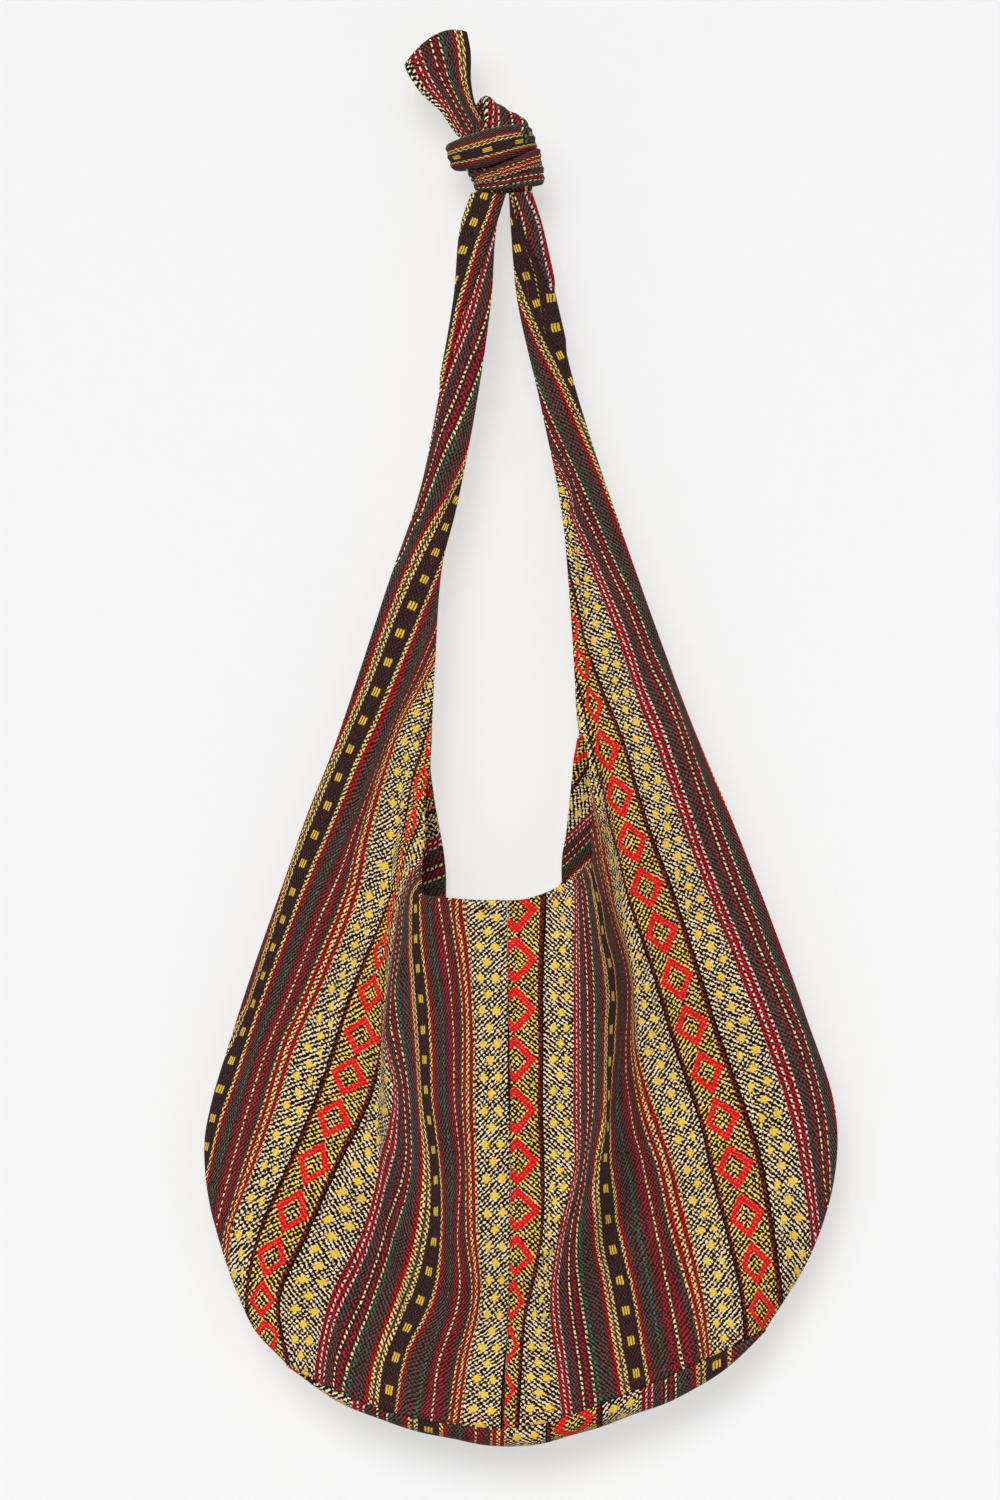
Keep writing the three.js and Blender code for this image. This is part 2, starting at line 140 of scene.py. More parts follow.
RIGHT_INNER = [
    (0, 0.5 * M, -0.995 * DROP), (0.15, 0.6 * M, -0.915 * DROP), (0.3, 0.85 * M, -0.845 * DROP),
    (0.5, 1.08 * M, drop_mix(0.52)), (0.75, 1.09 * M, drop_mix(0.81)), (1, M, 25 - RIM_DROP),
    (1.3, M, mouth_mix(0.52)), (1.7, 0.93 * M, mouth_mix(0.93)), (2, 0.83 * M, 11 - CORNER_DROP),
    (2.15, 0.75 * M, -0.775 * CORNER_DROP), (2.33, 0.65 * M, -0.6 * CORNER_DROP), (2.66, 21, -0.168 * DROP),
    (2.85, 6.5, -0.087 * DROP), (2.94, 2.5, -0.03 * DROP), (3, 1.2, -SEAM_GAP),
]
LEFT_FOLD = [
    (0, -0.7 * W, -0.95 * DROP), (0.12, -0.812 * W, -0.917 * DROP), (0.3, -0.927 * W, -0.835 * DROP),
    (0.42, -0.957 * W, -0.782 * DROP), (0.55, -0.936 * W, -0.741 * DROP), (0.7, -0.863 * W, -0.679 * DROP),
    (0.85, -0.78 * W, -0.614 * DROP), (1, -0.705 * W, -0.56 * DROP), (1.5, -0.631 * W, -0.505 * DROP),
    (2, -0.527 * W, -0.437 * DROP), (2.33, -0.37 * W, -0.315 * DROP),
    (2.5, -31 - STRAP_WIDTH, -0.242 * DROP), (2.66, -19.5 - STRAP_WIDTH, -0.17 * DROP),
    (2.85, -7.5 - STRAP_WIDTH, -0.085 * DROP), (2.94, -7.5 - 0.84 * STRAP_WIDTH, -0.03 * DROP),
    (3, -3.5 - 0.7 * STRAP_WIDTH, -SEAM_GAP),
]
LEFT_INNER = [
    (0, -0.6 * M, -0.997 * DROP), (0.2, -0.68 * M, drop_mix(0.23)), (0.4, -0.82 * M, drop_mix(0.42)),
    (0.7, -0.95 * M, drop_mix(0.7)), (1, -M, 4 - RIM_DROP), (1.3, -0.96 * M, mouth_mix(0.35)),
    (1.6, -0.96 * M, mouth_mix(0.62)), (2, -0.9 * M, -10 - CORNER_DROP),
    (2.15, -0.85 * M, -0.88 * CORNER_DROP), (2.35, -0.77 * M, -0.7 * CORNER_DROP),
    (2.5, -32, -0.252 * DROP), (2.66, -19.5, -0.17 * DROP), (2.85, -10, -0.085 * DROP),
    (2.94, -7, -0.03 * DROP), (3, -0.8, -SEAM_GAP),
]
# Rows (level, half depth of the side parts, height of the belly step, depth of the back)
DEPTHS = [
    (0, GUSSET_WIDTH / 2, 0, GUSSET_WIDTH / 2),
    (0.15, 1.02 * SIDE_DEPTH, 0.35 * BELLY_STEP, 0.98 * BACK_DEPTH),
    (0.35, SIDE_DEPTH, 0.95 * BELLY_STEP, BACK_DEPTH),
    (0.65, 0.92 * SIDE_DEPTH, BELLY_STEP, 0.94 * BACK_DEPTH),
    (1, 0.76 * SIDE_DEPTH, 0.9 * BELLY_STEP, 0.76 * BACK_DEPTH),
    (1.5, 0.64 * SIDE_DEPTH, 0.25 * BELLY_STEP, 0.5 * BACK_DEPTH),
    (2, 0.44 * SIDE_DEPTH, 0, 0.3 * BACK_DEPTH), (2.4, 0.57 * STRAP_DEPTH, 0, 0.5 * STRAP_DEPTH),
    (3, 0.5 * STRAP_DEPTH, 0, 0.5 * STRAP_DEPTH),
]
# How the belly falls back to the side part: rows (share of the way to the side fold, height)
RIGHT_WALL = [(-0.01, 1), (0.03, 0.93), (0.07, 0.7), (0.12, 0.35), (0.17, 0.08), (0.21, 0), (1, 0)]
LEFT_WALL = [
    (-0.01, 1), (0.06, 0.97), (0.13, 0.78), (0.18, 0.52), (0.205, 0.3), (0.225, 0.06), (0.26, 0), (1, 0),
]
# Power of the curve from front to side fold, at the body and on the arms
BODY_CURVE, ARM_CURVE = 1.6, 3.0


def back_inner(half, level):
    """Inner edge of the back layer: narrower at the mouth, a little shy of the front on the arm."""
    x, z = columns(half["inner"], level)
    shy = x + BACK_ARM_SHY * half["side"] * rise(level, 2, 2.2)
    begun = rise(level, 0, 0.6)
    wide = begun * (1 - rise(level, 1, 2))
    hem_in = half["hem_in"] * begun * (1 - rise(level, 1.6, 1.9))
    inward = (MOUTH_HALF - BACK_MOUTH_HALF) * wide + hem_in
    return shy - half["side"] * inward, z - BACK_RIM_DIP * wide


def half_points(half, level, s, back):
    """Points of a half, in millimetres: s is -1 at the centre seam, 0 at the inner edge, 1 at the fold."""
    level, s = np.broadcast_arrays(np.asarray(level, float), np.asarray(s, float))
    seam_x, seam_z = columns(SEAM, np.minimum(1, level))
    inner_x, inner_z = back_inner(half, level) if back else columns(half["inner"], level)
    fold_x, fold_z = columns(half["fold"], level)
    side_depth, step, back_depth = columns(DEPTHS, level)
    b = np.maximum(0, s)
    wall = follow(half["wall"], b)[..., 0]
    power = mix(BODY_CURVE, ARM_CURVE, rise(level, 1, 2.3))
    rounding = np.sqrt(np.maximum(0, 1 - b ** power))
    reach = rise(level, 0, 0.3) * (1 - rise(level, 0.7, 1.5))
    pleat = PLEAT / 2 * reach * np.sin(np.pi * b) * np.sin(2 * np.pi * half["pleats"] * b)
    y = back_depth * rounding + pleat if back else -(side_depth * rounding + step * wall + pleat)
    droop = half["sag"] * 4 * b * (1 - b) * (1 - rise(level, 0, 0.4))
    a = np.minimum(1 + s, 1.0)
    seam_x = seam_x + half["side"] * SEAM_GAP / 2
    seam_z = seam_z - (BACK_RIM_DIP * rise(level, 0, 0.6) if back else 0)
    x = np.where(s >= 0, mix(inner_x, fold_x, b), mix(seam_x, inner_x, a))
    z = np.where(s >= 0, mix(inner_z, fold_z, b) - droop, seam_z + (inner_z - seam_z) * a * a)
    return np.stack([x, y, z], -1)


def front_width(half, level):
    """Width of the front from the inner edge to the side fold."""
    return np.linalg.norm(follow(half["fold"], level) - follow(half["inner"], level), axis=-1)


# Warp lines on the front, in drawing units: yarn number, then points along that yarn
RIGHT_YARNS = [
    (-2.5, [(509, 890), (509, 1100), (512, 1165), (511, 1232), (510, 1299), (505, 1340), (502, 1366),
            (498, 1440)]),
    (13, [(544, 880), (540, 974), (540.5, 1044), (540, 1114), (542, 1165), (541, 1232), (530, 1285),
          (524, 1310), (520, 1366), (516, 1440)]),
    (34.5, [(574.5, 880), (573, 974), (573, 1044), (572.5, 1114), (573.5, 1165), (557, 1232), (549, 1299),
            (557, 1366), (565, 1440)]),
    (48, [(581, 880), (587, 974), (588, 1044), (588, 1114), (583, 1165), (570, 1232), (571.5, 1299),
          (581.5, 1366), (590, 1440)]),
    (60.5, [(590, 880), (601, 974), (602, 1044), (599, 1114), (590, 1165), (590, 1232), (601.5, 1299),
            (612.5, 1366), (620, 1410)]),
    (67.5, [(591.5, 880), (605.5, 974), (606, 1044), (604.5, 1114), (599, 1165), (601.5, 1232),
            (614, 1299), (626, 1366), (634, 1410)]),
    (78.5, [(594, 880), (612.5, 974), (612.5, 1044), (607, 1114), (609, 1165), (618, 1232), (633, 1299),
            (643, 1366), (650, 1405)]),
    (84, [(596, 880), (615, 974), (616, 1044), (609.5, 1114), (617.5, 1165), (627, 1232), (641, 1299),
          (653, 1366), (660, 1400)]),
    (95, [(598, 880), (624, 974), (623, 1044), (627, 1114), (639, 1165), (653, 1232), (665, 1299),
          (677, 1370)]),
    (104.5, [(595, 835), (601, 880), (628, 974), (629, 1044), (639, 1114), (655.5, 1165), (669.5, 1232),
             (689.5, 1299), (698, 1340), (702, 1375)]),
    (112.5, [(592, 790), (602, 845), (609, 880), (631, 974), (636, 1044), (657.5, 1114), (674, 1165),
             (690, 1232), (704.5, 1299), (711, 1370)]),
    (133.5, [(582, 700), (589, 740), (601.5, 790), (613.5, 845), (622, 880), (653, 974), (674, 1044),
             (698, 1114), (709.5, 1165), (727, 1232), (742, 1299), (746, 1365)]),
    (147, [(573, 632), (582, 664), (592, 703), (604, 750), (618, 796), (631, 841), (645, 887), (659, 932),
           (675, 978), (690, 1025), (705, 1070), (721, 1118), (732, 1165), (748, 1232), (760, 1307),
           (763, 1345)]),
    (160, [(583, 638), (600, 687), (622, 740), (636, 790), (653, 845), (667, 880), (698, 974),
           (720, 1044), (745, 1114), (760, 1165), (771, 1232), (780, 1299), (782, 1330)]),
    (171.5, [(566, 504), (573, 550), (590, 606), (609, 664), (629, 722), (640, 751), (673, 845),
             (722, 980), (742, 1040), (768, 1114), (780, 1165), (793, 1232), (797, 1265)]),
    (184.5, [(571, 515), (587, 550), (614, 615), (629, 655), (640, 691), (656, 731), (669, 769),
             (695, 845), (743, 966), (772, 1040), (796, 1114), (806, 1165), (815, 1232)]),
    (199, [(538, 387), (548, 412), (561, 442), (571, 463), (592, 510), (611, 555), (634, 602), (652, 649),
           (672, 693), (694, 755), (727, 845), (775, 966), (805, 1040), (824, 1114), (829, 1165)]),
    (208.5, [(513, 292), (520, 309), (529.5, 331), (539.5, 354), (553, 377), (566, 404), (579, 435),
             (594, 470), (605, 497), (618, 530), (628, 556), (647.5, 604), (676.5, 688), (712, 780),
             (746.5, 860), (782.5, 956), (823.5, 1068), (836, 1130)]),
    (220, [(503, 200), (509.5, 223), (517, 249), (526, 277), (536, 304), (547.5, 330), (559, 355),
           (573, 385)]),
    (205, [(836, 1165), (834, 1187)]), (195, [(829, 1210)]), (187, [(819, 1234)]), (176, [(801, 1267)]),
    (163, [(785, 1300)]), (151, [(763, 1333)]), (131, [(735, 1365)]),
]
LEFT_YARNS = [
    (-109.5, [(497, 215), (486, 250), (480, 276), (471.5, 306), (460, 339), (448, 369), (440, 396),
              (433, 429), (424, 470), (415, 505)]),
    (-99, [(497, 280), (487, 322), (478, 349), (468, 371), (456.5, 402), (443, 432), (430, 474),
           (412, 522), (402, 548)]),
    (-95, [(487, 350), (475, 386), (460, 422), (448, 446), (437, 474), (420, 520)]),
    (-91, [(374, 622), (355, 672)]), (-88.5, [(339, 721), (322, 772)]),
    (-85.5, [(465, 455), (448, 493), (424, 531), (405, 571), (384, 622), (365, 676), (344, 729),
             (325, 772), (306, 820), (292, 860), (274, 919), (247, 1003)]),
    (-80, [(277.5, 919), (250.5, 1003), (233, 1045)]), (-76.5, [(216, 1089)]),
    (-74, [(455, 500), (445, 528), (425, 580), (400, 633), (376, 692), (350, 749), (328, 805), (303, 863),
           (283, 919), (253, 1003), (232, 1060), (220, 1092), (207, 1146)]),
    (-65.5, [(452, 545), (432, 595), (408, 654), (381, 718), (354, 780), (322, 855), (297, 915),
             (264, 1003), (240, 1075), (222, 1125), (208, 1183)]),
    (-58, [(437, 610), (410, 680), (386, 738), (362, 799), (337, 852), (317, 893), (280, 990),
           (257, 1045), (236, 1110), (219, 1170)]),
    (-42, [(437, 642), (417, 684), (400, 713), (385, 753), (371, 796), (356, 848), (345, 893), (305, 990),
           (284, 1038), (262, 1110), (245, 1163), (226, 1228)]),
    (-34.5, [(436, 662), (425, 684), (408, 713), (394, 753), (382, 796), (369, 848), (360, 893),
             (322, 990), (300, 1038), (278, 1105), (257, 1163), (232, 1228)]),
    (-13, [(432, 712), (424, 745), (412, 785), (405, 826), (400, 854), (394, 887), (373, 942), (352, 992),
           (337, 1040), (318, 1097), (290.5, 1163), (262, 1228), (247, 1293), (251, 1326)]),
    (0, [(428, 748), (421, 785), (411, 826), (403, 854), (397, 887), (384, 942), (371, 992), (361, 1038),
         (349, 1075), (334, 1116), (315, 1161), (285, 1228), (261, 1293), (268, 1334), (275, 1351)]),
    (4.3, [(386.3, 942), (375.6, 992), (368.3, 1040), (350.6, 1097)]),
    (8.7, [(388.7, 942), (380.4, 992), (375.7, 1040), (360.4, 1097)]),
    (13, [(431, 775), (419, 826), (406, 854), (400, 887), (391, 942), (385, 992), (383, 1040),
          (370, 1097), (337, 1163), (308, 1228), (279.5, 1293), (283, 1340), (290, 1362)]),
    (34.5, [(428, 826), (424, 854), (404, 887), (393.5, 942), (387, 992), (386, 1040), (396, 1097),
            (381, 1163), (364, 1228), (332, 1293), (317, 1358), (315, 1385)]),
    (48, [(430, 862), (408, 887), (399, 942), (392, 992), (397, 1040), (407, 1097), (408, 1163),
          (389, 1228), (367, 1293), (339, 1358), (335, 1400)]),
    (60.5, [(411, 890), (409, 942), (411, 992), (414, 1040), (418, 1097), (421, 1163), (413, 1228),
            (393.5, 1293), (371, 1358), (362, 1410)]),
    (67.5, [(414.5, 890), (413, 942), (416.5, 992), (419.5, 1040), (423, 1097), (431, 1163), (429, 1228),
            (413, 1293), (385, 1358), (378, 1410)]),
    (78.5, [(420, 890), (421, 942), (427, 992), (430, 1040), (432, 1097), (440, 1163), (441, 1228),
            (431.5, 1293), (403.5, 1358), (395, 1410)]),
    (83, [(424, 894), (426.5, 942), (432, 992), (436, 1040), (437, 1097), (443, 1163), (445.5, 1228),
          (439, 1293), (410, 1358), (400, 1410)]),
    (89, [(430, 894), (433, 942), (441, 992), (444, 1040), (445, 1097), (452, 1163), (451, 1228),
          (448, 1293), (427, 1358), (417, 1412)]),
    (97, [(439, 894), (445.5, 942), (451, 992), (454, 1040), (455, 1097), (461, 1163), (458, 1228),
          (459.5, 1293), (439, 1358), (432, 1415)]),
    (104.5, [(448, 894), (455, 942), (461, 992), (462.5, 1040), (462, 1097), (465.5, 1163), (466, 1228),
             (471.5, 1293), (456.5, 1358), (448, 1418)]),
    (112.5, [(464, 894), (469.5, 942), (473, 992), (475, 1040), (475, 1097), (477, 1163), (478, 1228),
             (481.5, 1293), (468.5, 1358), (461, 1420)]),
    (132.5, [(508, 890), (508, 1100), (512, 1165), (511, 1232), (509.5, 1299), (505, 1350), (502, 1370),
             (500, 1440)]),
    (-50, [(217, 1228)]), (-38, [(226, 1262)]), (-27, [(237, 1293)]), (-12, [(250, 1327)]),
    (1, [(272, 1352)]), (25, [(300, 1377)]), (36, [(319, 1388)]),
]
# Nearness of two points up and down the cloth counts this much against nearness across it
ALONG_WARP = 0.3
# How loosely the yarn numbers keep to the warp lines, and how many points are worked out at a time
YARN_SLACK, AT_A_TIME = 0.02, 4000


def curve_points(points, step=12.0):
    """Points at even steps on a smooth curve through a few given ones."""
    p = np.array(points, float)
    if len(p) == 1:
        return p
    way = np.concatenate([[0], np.cumsum(np.linalg.norm(np.diff(p, axis=0), axis=1))])
    rows = np.column_stack([way, p])
    return follow(rows, np.linspace(0, way[-1], max(2, int(way[-1] / step) + 1)))


def yarn_numbers(lines, x, z):
    """Yarn number at points of the front, in millimetres, spread smoothly between the warp lines."""
    scale = np.array([1.0, ALONG_WARP])
    on_lines = [curve_points(points) for _, points in lines]
    number = np.concatenate([np.full(len(on), float(yarn)) for (yarn, _), on in zip(lines, on_lines)])
    known = np.concatenate(on_lines) * scale
    ask = np.column_stack([x.ravel() / UNIT + DRAWN_X, DRAWN_Y - z.ravel() / UNIT]) * scale
    n = len(known)
    apart = np.linalg.norm(known[:, None] - known[None], axis=-1)
    flat = np.column_stack([np.ones(n), known])
    system = np.block([[apart - YARN_SLACK * np.eye(n), flat], [flat.T, np.zeros((3, 3))]])
    weight = np.linalg.solve(system, np.concatenate([number, np.zeros(3)]))
    result = np.empty(len(ask))
    for start in range(0, len(ask), AT_A_TIME):
        part = ask[start:start + AT_A_TIME]
        reach = np.linalg.norm(part[:, None] - known[None], axis=-1)
        result[start:start + AT_A_TIME] = reach @ weight[:n] + weight[n] + part @ weight[n + 1:]
    return result.reshape(x.shape)


def slopes(values):
    """Change of a grid of values along its rows and along its columns."""
    return np.gradient(values, axis=0), np.gradient(values, axis=1)


EVEN_ROUNDS, EVEN_ENOUGH = 1500, 1e-6


def even_length(points, way, used):
    """Millimetres over a grid of cloth in a given direction, evened out over the sheet."""
    want, weight = [], []
    for axis in (0, 1):
        ahead, here = np.roll(points, -1, axis) - points, used & np.roll(used, -1, axis)
        last = [slice(None), slice(None)]
        last[axis] = -1
        here[tuple(last)] = False
        want.append((ahead * 0.5 * (way + np.roll(way, -1, axis))).sum(-1))
        weight.append(np.where(here, 1.0 / np.maximum(np.linalg.norm(ahead, axis=-1), 1e-6), 0.0))

    def gathered(steps):
        total = np.zeros(used.shape)
        for axis in (0, 1):
            flow = weight[axis] * steps[axis]
            total -= flow - np.roll(flow, 1, axis)
        return total

    def spread(v):
        return gathered([np.roll(v, -1, axis) - v for axis in (0, 1)])

    v = points @ way[used].mean(0)
    left = np.where(used, gathered(want) - spread(v), 0.0)
    go, size = left.copy(), (left * left).sum()
    for _ in range(EVEN_ROUNDS):
        if size < EVEN_ENOUGH:
            break
        turned = spread(go)
        share = size / (go * turned).sum()
        v = v + share * go
        left = left - share * turned
        size, before = (left * left).sum(), size
        go = left + (size / before) * go
    return v


def warp_and_weft(points, yarn):
    """Unit directions on a grid of cloth: up along the warp, and along the weft to higher yarn numbers."""
    up, across = slopes(points)
    yarn_up, yarn_across = slopes(yarn)
    e, f, g = (across * across).sum(-1), (across * up).sum(-1), (up * up).sum(-1)
    weft = (g * yarn_across - f * yarn_up)[..., None] * across
    weft = weft + (e * yarn_up - f * yarn_across)[..., None] * up
    warp = unit(np.cross(np.cross(across, up), weft))
    return warp * np.where(warp[..., 2:] < 0, -1.0, 1.0), unit(weft)


# Rows of motifs follow the cloth as seen from the front, where depth counts this much
SEEN_DEPTH = 0.25


def cloth_maps(points, yarn, used):
    """Weave map (millimetres across and along) and the pick numbers of the motifs, on a grid of cloth."""
    warp, weft = warp_and_weft(points, yarn)
    weave = even_length(points, weft, used), even_length(points, warp, used)
    seen = points * [1.0, SEEN_DEPTH, 1.0]
    return weave, even_length(seen, warp_and_weft(seen, yarn)[0], used) / PICK


# Motifs woven in with extra weft, in millimetres, and their repeat in picks
DIAMOND_HALF_WIDTH, DIAMOND_HALF_HEIGHT, DIAMOND_OPENING, DIAMOND_PICKS = 12.6, 15.8, 0.56, 22.7
DOT_BAND, DOT_RADIUS, DOT_SIDE, DOT_PICKS = 24.5, 2.5, 5.0, 14.2
BLOCK_BAND, BLOCK_HALF, BLOCK_PICKS, BLOCK_BARS = 73.0, 2.7, 14.0, 3
# Shape of the motifs: a diamond's outer line, soft edge and cut tips, a dot's slant, fill of a block's bars
DIAMOND_LINE, DIAMOND_SOFT, DIAMOND_TIP, DOT_SLANT, BAR_FILL = 0.98, 0.04, 0.92, 0.8, 0.45

# Middles of neighbouring motifs from the top down, in drawing units: band, repeat, places
RIGHT_MOTIFS = [
    (147, DIAMOND_PICKS, [(582, 664), (592, 703), (604, 750), (618, 796), (631, 841), (645, 887),
                          (659, 932), (675, 978), (690, 1025), (705, 1070), (721, 1118), (732, 1165),
                          (745, 1214), (756, 1262), (761, 1308)]),
    (0, DIAMOND_PICKS, [(533, 957), (535, 1006), (536, 1057), (534, 1106), (537, 1156), (538, 1205),
                        (534, 1254), (527, 1296), (522, 1343), (516, 1386)]),
    (220, BLOCK_PICKS, [(509.5, 223), (517, 249), (526, 277), (536, 304), (547.5, 330)]),
    (73, BLOCK_PICKS, [(608, 994), (609, 1027), (610, 1058), (608, 1092), (605, 1123), (601, 1153),
                       (603, 1184), (605, 1216), (611.5, 1247), (618, 1278), (622, 1308), (627, 1338),
                       (634, 1370)]),
]
LEFT_MOTIFS = [
    (0, DIAMOND_PICKS, [(386, 952), (373, 993), (362, 1034), (349, 1075), (334, 1116), (315, 1161),
                        (294, 1210), (271, 1255), (261, 1300), (270, 1334)]),
    (73, BLOCK_PICKS, [(415, 937), (418.5, 966), (422.5, 996), (424, 1027), (425.5, 1056), (426.5, 1086),
                       (427.5, 1116), (428, 1146), (433, 1176), (437, 1206), (435, 1236), (431, 1266),
                       (420, 1295), (408, 1323), (396, 1354), (387.5, 1386)]),
    (-74, BLOCK_PICKS, [(455, 500), (445, 528), (436, 552), (425, 580), (413, 606), (400, 633),
                        (388, 662), (376, 692), (364, 721), (350, 749), (338, 777), (328, 805),
                        (315, 835), (303, 863), (293, 892), (283, 919), (273, 947), (263, 975),
                        (253, 1003), (243, 1031), (232, 1060), (221, 1089), (213, 1118), (207, 1146)]),
]
# Half width of a band that follows its motifs, and width of its soft edge, in yarns
MOTIF_BAND, MOTIF_FADE = 18.0, 6.0
# Motifs past the first and last, a fine step in motifs, and how many steps their line is smoothed over
MOTIFS_PAST, MOTIF_STEP, MOTIF_SMOOTH = 6, 0.05, 21


def set_motifs(motifs, points, yarn, pick):
    """Pick numbers set, band by band, so that the motifs fall where they are woven."""
    moved = pick.copy()
    for band, repeat, places in motifs:
        way = from_drawing(places)
        above = way[:1] + MOTIFS_PAST * (way[:1] - way[1:2])
        below = way[-1:] + MOTIFS_PAST * (way[-1:] - way[-2:-1])
        way = np.concatenate([above, way, below])
        end = len(places) + MOTIFS_PAST - 1
        count = np.arange(-MOTIFS_PAST, end, MOTIF_STEP)
        corners = [-MOTIFS_PAST, *range(len(places)), end]
        line = [np.interp(count, corners, way[:, k]) for k in (0, 1)]
        soft = np.ones(MOTIF_SMOOTH) / MOTIF_SMOOTH
        line = [np.convolve(np.pad(part, MOTIF_SMOOTH // 2, "edge"), soft, "valid") for part in line]
        line = np.stack(line, -1)
        ahead = np.gradient(line, count, axis=0)
        near = np.abs(yarn - band) < MOTIF_BAND
        flat = points[near][:, [0, 2]]
        nearest = ((flat[:, None] - line) ** 2).sum(-1).argmin(-1)
        d = ahead[nearest]
        place = count[nearest] + ((flat - line[nearest]) * d).sum(-1) / (d * d).sum(-1)
        first = round(pick[near].max() / repeat) * repeat
        share = 1 - rise(np.abs(yarn[near] - band), MOTIF_BAND - MOTIF_FADE, MOTIF_BAND)
        moved[near] = mix(moved[near], first - repeat * place, share)
    return moved


# Folds of the front, from the top down: height left and right of the line, width, points in drawing units
RIGHT_FOLDS = [
    (3.0, -1.4, 9, [(612, 1030), (611, 1075), (605, 1120), (594, 1160), (577, 1193), (563, 1222),
                    (550, 1243), (538, 1262), (529, 1285), (523, 1306), (520, 1330)]),
    (1.6, -1.6, 5, [(592, 800), (604, 860), (614, 930), (618, 990), (619, 1040)]),
    (-1.5, 1.2, 5, [(586, 880), (594, 930), (597, 980), (597, 1040), (594, 1090)]),
    (1.2, -0.6, 7, [(676, 1365), (670, 1320), (664, 1290), (655, 1250), (645, 1200)][::-1]),
]
LEFT_FOLDS = [
    (-1.2, 2.4, 8, [(403, 880), (393, 942), (386, 992), (385, 1040), (393, 1097), (403, 1140)]),
    (-1.8, -1.8, 7, [(447, 1090), (453, 1160), (458, 1220), (450, 1290), (438, 1340)]),
    (1.0, -1.0, 5, [(440, 900), (447, 960), (452, 1020), (455, 1090)]),
]
# A fold: step of its points, share of its length that fades, half width of its crest, reach past its ends
FOLD_STEP, FOLD_FADE, FOLD_CREST, FOLD_PAST = 5.0, 0.25, 1.5, 4


def fold_heights(folds, points):
    """Height of the small folds at points of the front: one side of each line stands over the other."""
    total = np.zeros(points.shape[:-1])
    for left, right, wide, line in folds:
        way = from_drawing(curve_points(line, FOLD_STEP))
        ahead = unit(np.gradient(way, axis=0))
        apart = points[..., None, [0, 2]] - way
        near = (apart ** 2).sum(-1).argmin(-1)
        r, d = np.take_along_axis(apart, near[..., None, None], -2)[..., 0, :], ahead[near]
        side = d[..., 0] * r[..., 1] - d[..., 1] * r[..., 0]
        along = (d * r).sum(-1)
        fade = FOLD_FADE * len(way)
        shown = rise(near, 0, fade) * rise(len(way) - 1 - near, 0, fade)
        height = mix(left, right, rise(side, -FOLD_CREST, FOLD_CREST)) * np.exp(-np.abs(side) / wide)
        total += np.where(np.abs(along) < FOLD_PAST, height * shown, 0.0)
    return total


def add_piece(name, data):
    """Object for a mesh, a lamp or a camera, linked to the scene."""
    piece = bpy.data.objects.new(name, data)
    bpy.context.scene.collection.objects.link(piece)
    return piece


def smooth_cloth(name, points, faces, maps, material):
    """Smooth mesh from points in millimetres, with UV maps given corner by corner."""
    mesh = bpy.data.meshes.new(name)
    mesh.from_pydata((points * MM).tolist(), [], faces)
    for label, uv in maps.items():
        mesh.uv_layers.new(name=label).data.foreach_set("uv", uv.astype(np.float32).ravel())
    mesh.polygons.foreach_set("use_smooth", np.ones(len(faces), bool))
    mesh.materials.append(material)
    mesh.update()
    return add_piece(name, mesh)


def cloth_mesh(name, points, yarn, pick, used, turned, material, weave=None):
    """Mesh of a grid of cloth, with UV maps of its yarn and pick numbers and of its weave."""
    ids = np.full(used.shape, -1)
    ids[used] = np.arange(used.sum())
    quads = np.stack([ids[:-1, :-1], ids[:-1, 1:], ids[1:, 1:], ids[1:, :-1]], -1).reshape(-1, 4)
    quads = quads[(quads >= 0).all(1)]
    if turned:
        quads = quads[:, ::-1]
    pairs = {"yarns": (yarn, pick), "weave": weave or (yarn * YARN, pick * PICK)}
    maps = {label: np.stack([a[used], b[used]], -1)[quads.reshape(-1)] for label, (a, b) in pairs.items()}
    return smooth_cloth(name, points[used], quads.tolist(), maps, material)


def give_thickness(piece, thickness):
    """Live thickness, half of it on each side of the sheet."""
    layer = piece.modifiers.new("cloth thickness", "SOLIDIFY")
    layer.thickness = thickness * MM
    layer.offset = 0.0
    layer.use_even_offset = False


def grid_normals(points):
    up, across = slopes(points)
    return unit(np.cross(across, up))


# Waves laid over one another in ripples, and how much their sizes differ
RIPPLE_WAVES, RIPPLE_SIZES = 7, (0.6, 1.6)
# Size and height of ripples: hand-wide and finger-wide ones of the halves, then those of the other pieces
WIDE_WAVES, FINE_WAVES, GUSSET_WAVES = (70, 0.9), (26, 0.25), (60, 0.5)
KNOT_WAVES, CREASE_WAVES, TAIL_WAVES = (18, 0.35), (40, 0.3), (26, 0.7)


def ripples(points, seed, size, height):
    """Small uneven waves of about the given size, the same on every run."""
    draw = np.random.default_rng(seed)
    total = np.zeros(points.shape[:-1])
    for _ in range(RIPPLE_WAVES):
        way = draw.normal(size=3)
        way *= 2 * np.pi / (size * draw.uniform(*RIPPLE_SIZES) * np.linalg.norm(way))
        total += np.sin(points @ way + draw.uniform(0, 2 * np.pi))
    return height * total / math.sqrt(RIPPLE_WAVES)


def cloth_waves(points, seed):
    """Hand-wide waves of the hanging cloth, with finger-wide ones on them."""
    return ripples(points, seed, *WIDE_WAVES) + ripples(points, seed + 1, *FINE_WAVES)


def arm_calm(level):
    """Share of the waves that is left: less on the arms, which are pulled straight."""
    return 1 - 0.6 * rise(level, 1.6, 2.1)


# Grid lines of a half: up the body, the mouth and the arm, then across its front and back
BODY_ROWS, MOUTH_ROWS, ARM_ROWS = 111, 43, 101
BELLY_COLUMNS, WALL_COLUMNS, SIDE_COLUMNS = 31, 33, 44
BACK_SIDE_COLUMNS, BACK_BELLY_COLUMNS = 40, 17
WALL_END = 0.28


